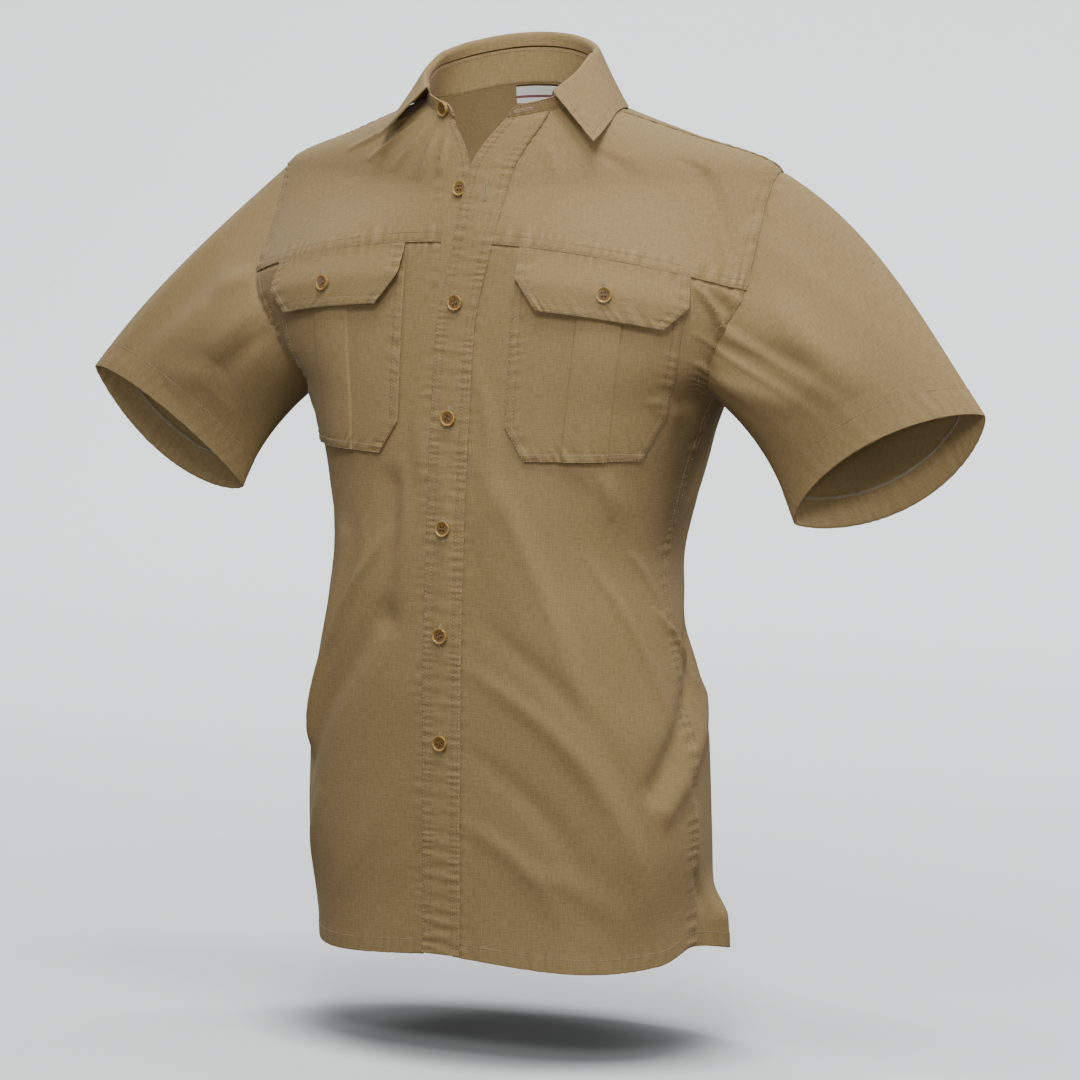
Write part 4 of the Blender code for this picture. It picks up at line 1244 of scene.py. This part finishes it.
# Sewing
# Khaki polyester thread: double rows along the seams, one row along each hem, worked
# buttonholes, an overlocked raw edge inside each sleeve hem, and thread through each button.

STITCH_PITCH = 0.0029
STITCH_LENGTH = 0.0024
THREAD_WIDTH = 0.0007
THREAD_SEAT = 0.00012


def thread(name, colour, dark):
    """Spun thread with a fine twist."""
    material, nodes, links, shader = new_finish(name, 0.6)
    shader.inputs["Sheen Weight"].default_value = 0.3
    where = nodes.new("ShaderNodeTexCoord")
    twist = speckle(nodes, links, where.outputs["Object"], 900.0, 2.0)
    spun = blend(nodes, links, (*dark, 1.0), (*colour, 1.0), twist)
    links.new(spun, shader.inputs["Base Color"])
    return material


khaki_thread = thread("khaki_thread", (0.36, 0.27, 0.15), (0.22, 0.16, 0.08))
pale_thread = thread("pale_thread", (0.45, 0.37, 0.25), (0.28, 0.22, 0.13))
bpy.ops.object.select_all(action="DESELECT")
bpy.ops.mesh.primitive_ico_sphere_add(subdivisions=1, radius=0.5)
grain_piece = bpy.context.object
stitch_points = np.array([vert.co[:] for vert in grain_piece.data.vertices])
stitch_faces = np.array([face.vertices[:] for face in grain_piece.data.polygons])
bpy.data.objects.remove(grain_piece, do_unlink=True)


def sew(name, stitches, material):
    """One mesh of stitches, each a place, a way along, a way out, a length and a width."""
    places, ways, outs, lengths, widths = (np.concatenate(part) for part in zip(*stitches))
    beside = unit(np.cross(outs, ways))
    outs = unit(np.cross(ways, beside))
    shape = (stitch_points[None, :, 0, None] * (ways * lengths[:, None])[:, None]
             + stitch_points[None, :, 1, None] * (beside * widths[:, None])[:, None]
             + stitch_points[None, :, 2, None] * (outs * widths[:, None] * 0.9)[:, None])
    points = (places[:, None] + shape).reshape(-1, 3)
    first_points = len(stitch_points) * np.arange(len(places))
    faces = (stitch_faces[None] + first_points[:, None, None]).reshape(-1, 3)
    mesh = bpy.data.meshes.new(name)
    mesh.from_pydata(points.tolist(), [], faces.tolist())
    mesh.shade_smooth()
    mesh.materials.append(material)
    piece = bpy.data.objects.new(name, mesh)
    bpy.context.scene.collection.objects.link(piece)
    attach(piece, "root")


def row_along(cloth, edge, distance, first, last):
    """Points and outward ways along a cloth, a distance in from one of its edges."""
    points, normals = cloth["points"], cloth["normals"]
    shares = cloth["v"] if edge in ("start", "end") else cloth["u"]
    if edge in ("foot", "top"):
        points, normals = points.swapaxes(0, 1), normals.swapaxes(0, 1)
    if edge in ("end", "top"):
        points, normals = points[:, ::-1], normals[:, ::-1]
    away = walk(points, 1)
    pick = np.arange(len(points))
    high = np.clip((away < distance).sum(axis=1), 1, away.shape[1] - 1)
    low = high - 1
    t = ((distance - away[pick, low]) / (away[pick, high] - away[pick, low] + 1e-9))[:, None]
    row = points[pick, low] * (1 - t) + points[pick, high] * t
    out = unit(normals[pick, low] * (1 - t) + normals[pick, high] * t)
    kept = (shares >= first - 1e-6) & (shares <= last + 1e-6)
    return row[kept], out[kept]


def stitches_on(row, out, lift, pitch=STITCH_PITCH, length=STITCH_LENGTH, width=THREAD_WIDTH,
                cross=0.0):
    """Stitches at even steps along a row of points, or slanted across it."""
    walked = np.concatenate([[0.0], np.cumsum(np.linalg.norm(np.diff(row, axis=0), axis=1))])
    count = max(int(walked[-1] / pitch), 1)
    at = (np.arange(count) + 0.5) * walked[-1] / count
    places, outs, after = (
        np.stack([np.interp(here, walked, part[:, axis]) for axis in range(3)], axis=-1)
        for part, here in ((row, at), (out, at), (row, at + 0.0006)))
    ways = unit(after - places)
    outs = unit(outs)
    beside = np.cross(outs, ways)
    ways = unit(ways * (1.0 - cross) + beside * cross)
    full = np.ones(count)
    return places + outs * lift, ways, outs, full * length, full * width


for name, cloth in cloths.items():
    lift = cloth["wall"] / 2 + THREAD_SEAT
    rows = []
    for edge, distances, *_, first, last in cloth["seams"]:
        for distance in distances:
            row, out = row_along(cloth, edge, distance, first, last)
            rows.append(stitches_on(row, out, lift))
            if name == "collar_stand":
                rows.append(stitches_on(row, -out, lift))
    if rows:
        sew(name + "_stitches", rows, khaki_thread)


HOLE_LENGTH = 0.019
HOLE_WIDTH = 0.0030
HOLE_STITCH = 0.0008
HOLE_THREAD = 0.00062
HOLE_SEAT = 0.0001


def buttonhole(place, along, out, length=HOLE_LENGTH):
    """A worked buttonhole: close stitches down both sides of a slit, and a bar at each end."""
    along = unit(np.asarray(along, float))
    out = unit(np.asarray(out, float))
    beside = unit(np.cross(out, along))
    at = np.arange(-length / 2, length / 2, HOLE_STITCH)
    places, ways = [], []
    for side in (-1, 1):
        for step in at:
            places.append(place + along * step + beside * side * HOLE_WIDTH * 0.27)
            ways.append(unit(beside + along * 0.15))
    for end in (-1, 1):
        for step in (-HOLE_STITCH, 0.0, HOLE_STITCH):
            places.append(place + along * (end * length / 2 + step))
            ways.append(beside)
    count = len(places)
    widths = np.full(count, HOLE_THREAD)
    lengths = np.where(np.arange(count) < 2 * len(at), HOLE_WIDTH * 0.48, HOLE_WIDTH)
    return np.array(places), np.array(ways), np.repeat(out[None], count, axis=0), lengths, widths


def on_body(turn, level, out):
    """A place over the body with the ways up and out there."""
    place = body(turn, level, out)
    up = unit(body(turn, level + 0.002, out) - place)
    return place, up, body_normal(turn, level)


holes = []
for level in FRONT_BUTTONS[1:]:
    place, up, out = on_body(0.0, level - 0.0005, BAND_OUT + BAND_WALL / 2 + HOLE_SEAT)
    holes.append(buttonhole(place, up, out))
level = FRONT_BUTTONS[0]
across = opening("left_edge", level) + BAND_WIDTH / 2
lift = column(BAND_ROLL, ROLL_COLUMNS, "lift", level) / 2
band_face = BAND_OUT + BAND_WALL / 2 + lift + HOLE_SEAT
place, up, out = on_body(turn_at(level, across), level, band_face)
holes.append(buttonhole(place, up, out))
for side in (1, -1):
    turn = side * turn_at(flap_level, POCKET_BUTTON[0])
    raised = FLAP_CLEAR + FLAP_STAND * POCKET_BUTTON[1] / FLAP_DROP + FLAP_WALL / 2 + HOLE_SEAT
    place, up, out = on_body(turn, flap_level + 0.003, raised)
    slant = unit(up + 0.28 * np.cross(out, up))
    holes.append(buttonhole(place, slant, out, 0.020))
spot, beside, above = stand(1.0 - STAND_BUTTON[0] + np.array([0.0, 0.01, 0.0]),
                            STAND_BUTTON[1] + np.array([0.0, 0.0, 0.1]))
out = unit(np.cross(beside - spot, above - spot))
holes.append(buttonhole(spot + out * (COLLAR_WALL / 2 + HOLE_SEAT), beside - spot, out, 0.014))
sew("buttonholes", holes, pale_thread)

edge_rows = []
for side, name in SIDES:
    cloth = cloths["sleeve_" + name]
    row, out = row_along(cloth, "top", SLEEVE_HEM, 0.0, 1.0)
    inner = row - out * 0.0018
    edge_rows.append(stitches_on(inner, -out, 0.0003, 0.0011, 0.0045, 0.0006, 0.75))
    edge_rows.append(stitches_on(inner, -out, 0.0004, 0.0016, 0.0045, 0.0006, 0.30))
sew("sleeve_overlock", edge_rows, pale_thread)

STRAND_WIDTH = 0.0004
strands = []
for name, placed in button_frames.items():
    turned = np.array(placed.to_3x3())
    centre = np.array(placed.translation)
    for x in (-HOLE_OUT, HOLE_OUT):
        for rise in (BUTTON_THICK / 2 - BUTTON_DISH + 0.00015, -BUTTON_THICK / 2 - 0.00030):
            strands.append((centre[None] + (turned @ np.array([x, 0.0, rise]))[None],
                            turned[:, 1][None], turned[:, 2][None],
                            np.array([2 * HOLE_OUT + 0.0010]), np.array([STRAND_WIDTH])))
    strands.append((centre[None] - turned[:, 2][None] * (BUTTON_THICK / 2 + 0.0004),
                    turned[:, 2][None], turned[:, 0][None], np.array([0.0016]), np.array([0.0030])))
sew("button_thread", strands, khaki_thread)


# Floor and light
# A pale studio floor that sweeps up into the backdrop, its shadow under the shirt partly painted,
# lit softly from above, in front and the wearer's left. A small lamp lights the inside of the back.

FLOOR_LEVEL = -0.804
FLOOR_LENGTH = 14.0
FLOOR_WIDTH = 24.0
FLOOR_FLAT = 8.0
SWEEP_RADIUS = 2.0
PAINTED_SHADOW_REACH = (0.25, 0.20, 0.24)

bpy.ops.object.select_all(action="DESELECT")
bpy.ops.mesh.primitive_grid_add(x_subdivisions=1, y_subdivisions=40, size=1.0)
floor = bpy.context.object
floor.name = "studio_floor"
for vert in floor.data.vertices:
    way = (vert.co.y + 0.5) * FLOOR_LENGTH
    vert.co.x *= FLOOR_WIDTH
    bend = max(way - FLOOR_FLAT, 0.0)
    angle = min(bend / SWEEP_RADIUS, math.pi / 2)
    rise = max(bend - math.pi * SWEEP_RADIUS / 2, 0.0)
    vert.co.y = min(way, FLOOR_FLAT) + SWEEP_RADIUS * math.sin(angle) - 5.0
    vert.co.z = SWEEP_RADIUS * (1.0 - math.cos(angle)) + rise + FLOOR_LEVEL
backdrop, paper, links, shader = new_finish("backdrop_paper_painted_shadow", 1.0)
spot_at = paper.new("ShaderNodeTexCoord")
painted_shadow_place = paper.new("ShaderNodeMapping")
painted_shadow_place.inputs["Location"].default_value = (0.0, 0.0, -FLOOR_LEVEL / PAINTED_SHADOW_REACH[2])
painted_shadow_place.inputs["Scale"].default_value = [1.0 / reach for reach in PAINTED_SHADOW_REACH]
# Painted shadow: the paper's colour darkens towards a spot under the shirt, deepening its real
# shadow.
painted_shadow_nearness = paper.new("ShaderNodeTexGradient")
painted_shadow_nearness.gradient_type = "SPHERICAL"
painted_shadow_tone = paper.new("ShaderNodeValToRGB")
painted_shadow_tone.color_ramp.interpolation = "EASE"
painted_shadow_tone.color_ramp.elements[0].color = (0.80, 0.835, 0.84, 1.0)
painted_shadow_tone.color_ramp.elements[1].position = 0.45
painted_shadow_tone.color_ramp.elements[1].color = (0.24, 0.25, 0.25, 1.0)
links.new(spot_at.outputs["Object"], painted_shadow_place.inputs["Vector"])
links.new(painted_shadow_place.outputs["Vector"], painted_shadow_nearness.inputs["Vector"])
links.new(painted_shadow_nearness.outputs["Fac"], painted_shadow_tone.inputs["Fac"])
links.new(painted_shadow_tone.outputs["Color"], shader.inputs["Base Color"])
floor.data.materials.append(backdrop)
bpy.ops.object.shade_smooth()
floor.visible_diffuse = False
floor.visible_glossy = False

for name, place, size, power, aim in (
    ("top_softbox", (0.5, -0.8, 2.1), 1.0, 42.0, (0.0, 0.0, -0.3)),
    ("key_softbox", (0.9, -2.3, 1.6), 0.9, 44.0, (0.0, 0.0, -0.50)),
    ("front_softbox", (1.5, -3.2, -0.4), 1.2, 34.0, (0.0, 0.0, -0.65)),
    ("left_softbox", (-2.6, -2.4, 0.0), 1.4, 15.0, (-0.1, 0.0, -0.45)),
    ("side_softbox", (3.0, 0.2, 0.3), 1.0, 24.0, (0.1, 0.0, -0.45)),
    ("backdrop_left", (-3.2, 2.0, 3.4), 2.5, 260.0, (-2.0, 6.0, 0.0)),
    ("backdrop_right", (2.2, 3.4, 3.4), 2.5, 260.0, (-1.0, 7.0, 0.0)),
):
    lamp = bpy.data.lights.new(name, "AREA")
    lamp.shape = "DISK"
    lamp.size = size
    lamp.energy = power
    light = bpy.data.objects.new(name, lamp)
    bpy.context.scene.collection.objects.link(light)
    light.location = place
    light.rotation_euler = (Vector(aim) - Vector(place)).to_track_quat("-Z", "Y").to_euler()

NECK_LAMP_PLACE = Vector((0.04, -0.10, -0.30))
NECK_LAMP_AIM = Vector((-0.05, 0.06, -0.05))
neck_lamp = bpy.data.lights.new("neck_spot", "SPOT")
neck_lamp.energy = 3.0
neck_lamp.spot_size = math.radians(75.0)
neck_lamp.spot_blend = 1.0
neck_lamp.shadow_soft_size = 0.03
neck_spot = bpy.data.objects.new("neck_spot", neck_lamp)
bpy.context.scene.collection.objects.link(neck_spot)
neck_spot.visible_camera = False
neck_spot.location = NECK_LAMP_PLACE
neck_spot.rotation_euler = (NECK_LAMP_AIM - NECK_LAMP_PLACE).to_track_quat("-Z", "Y").to_euler()

world = bpy.data.worlds.new("studio")
world.use_nodes = True
sky = world.node_tree.nodes
toward = sky.new("ShaderNodeTexCoord")
split = sky.new("ShaderNodeSeparateXYZ")
dome = sky.new("ShaderNodeValToRGB")
dome.color_ramp.elements[0].position = 0.10
dome.color_ramp.elements[0].color = (0.07, 0.07, 0.07, 1.0)
dome.color_ramp.elements[1].position = 0.90
dome.color_ramp.elements[1].color = (0.92, 0.96, 1.0, 1.0)
world.node_tree.links.new(toward.outputs["Generated"], split.inputs["Vector"])
world.node_tree.links.new(split.outputs["Z"], dome.inputs["Fac"])
world.node_tree.links.new(dome.outputs["Color"], sky["Background"].inputs["Color"])
sky["Background"].inputs["Strength"].default_value = 0.75
bpy.context.scene.world = world

# Camera: a long lens a little below the shoulders, turned 27 degrees to the wearer's left
camera_data = bpy.data.cameras.new("camera")
camera_data.lens = 156.0
camera_data.sensor_width = 36.0
camera = bpy.data.objects.new("camera", camera_data)
bpy.context.scene.collection.objects.link(camera)
turned = Matrix.Rotation(math.radians(27.0), 4, "Z") @ Matrix.Rotation(math.radians(86.0), 4, "X")
camera.matrix_world = (Matrix.Translation((1.8261, -3.5479, -0.0970)) @ turned
                       @ Matrix.Rotation(math.radians(2.0618), 4, "Z"))
bpy.context.scene.camera = camera
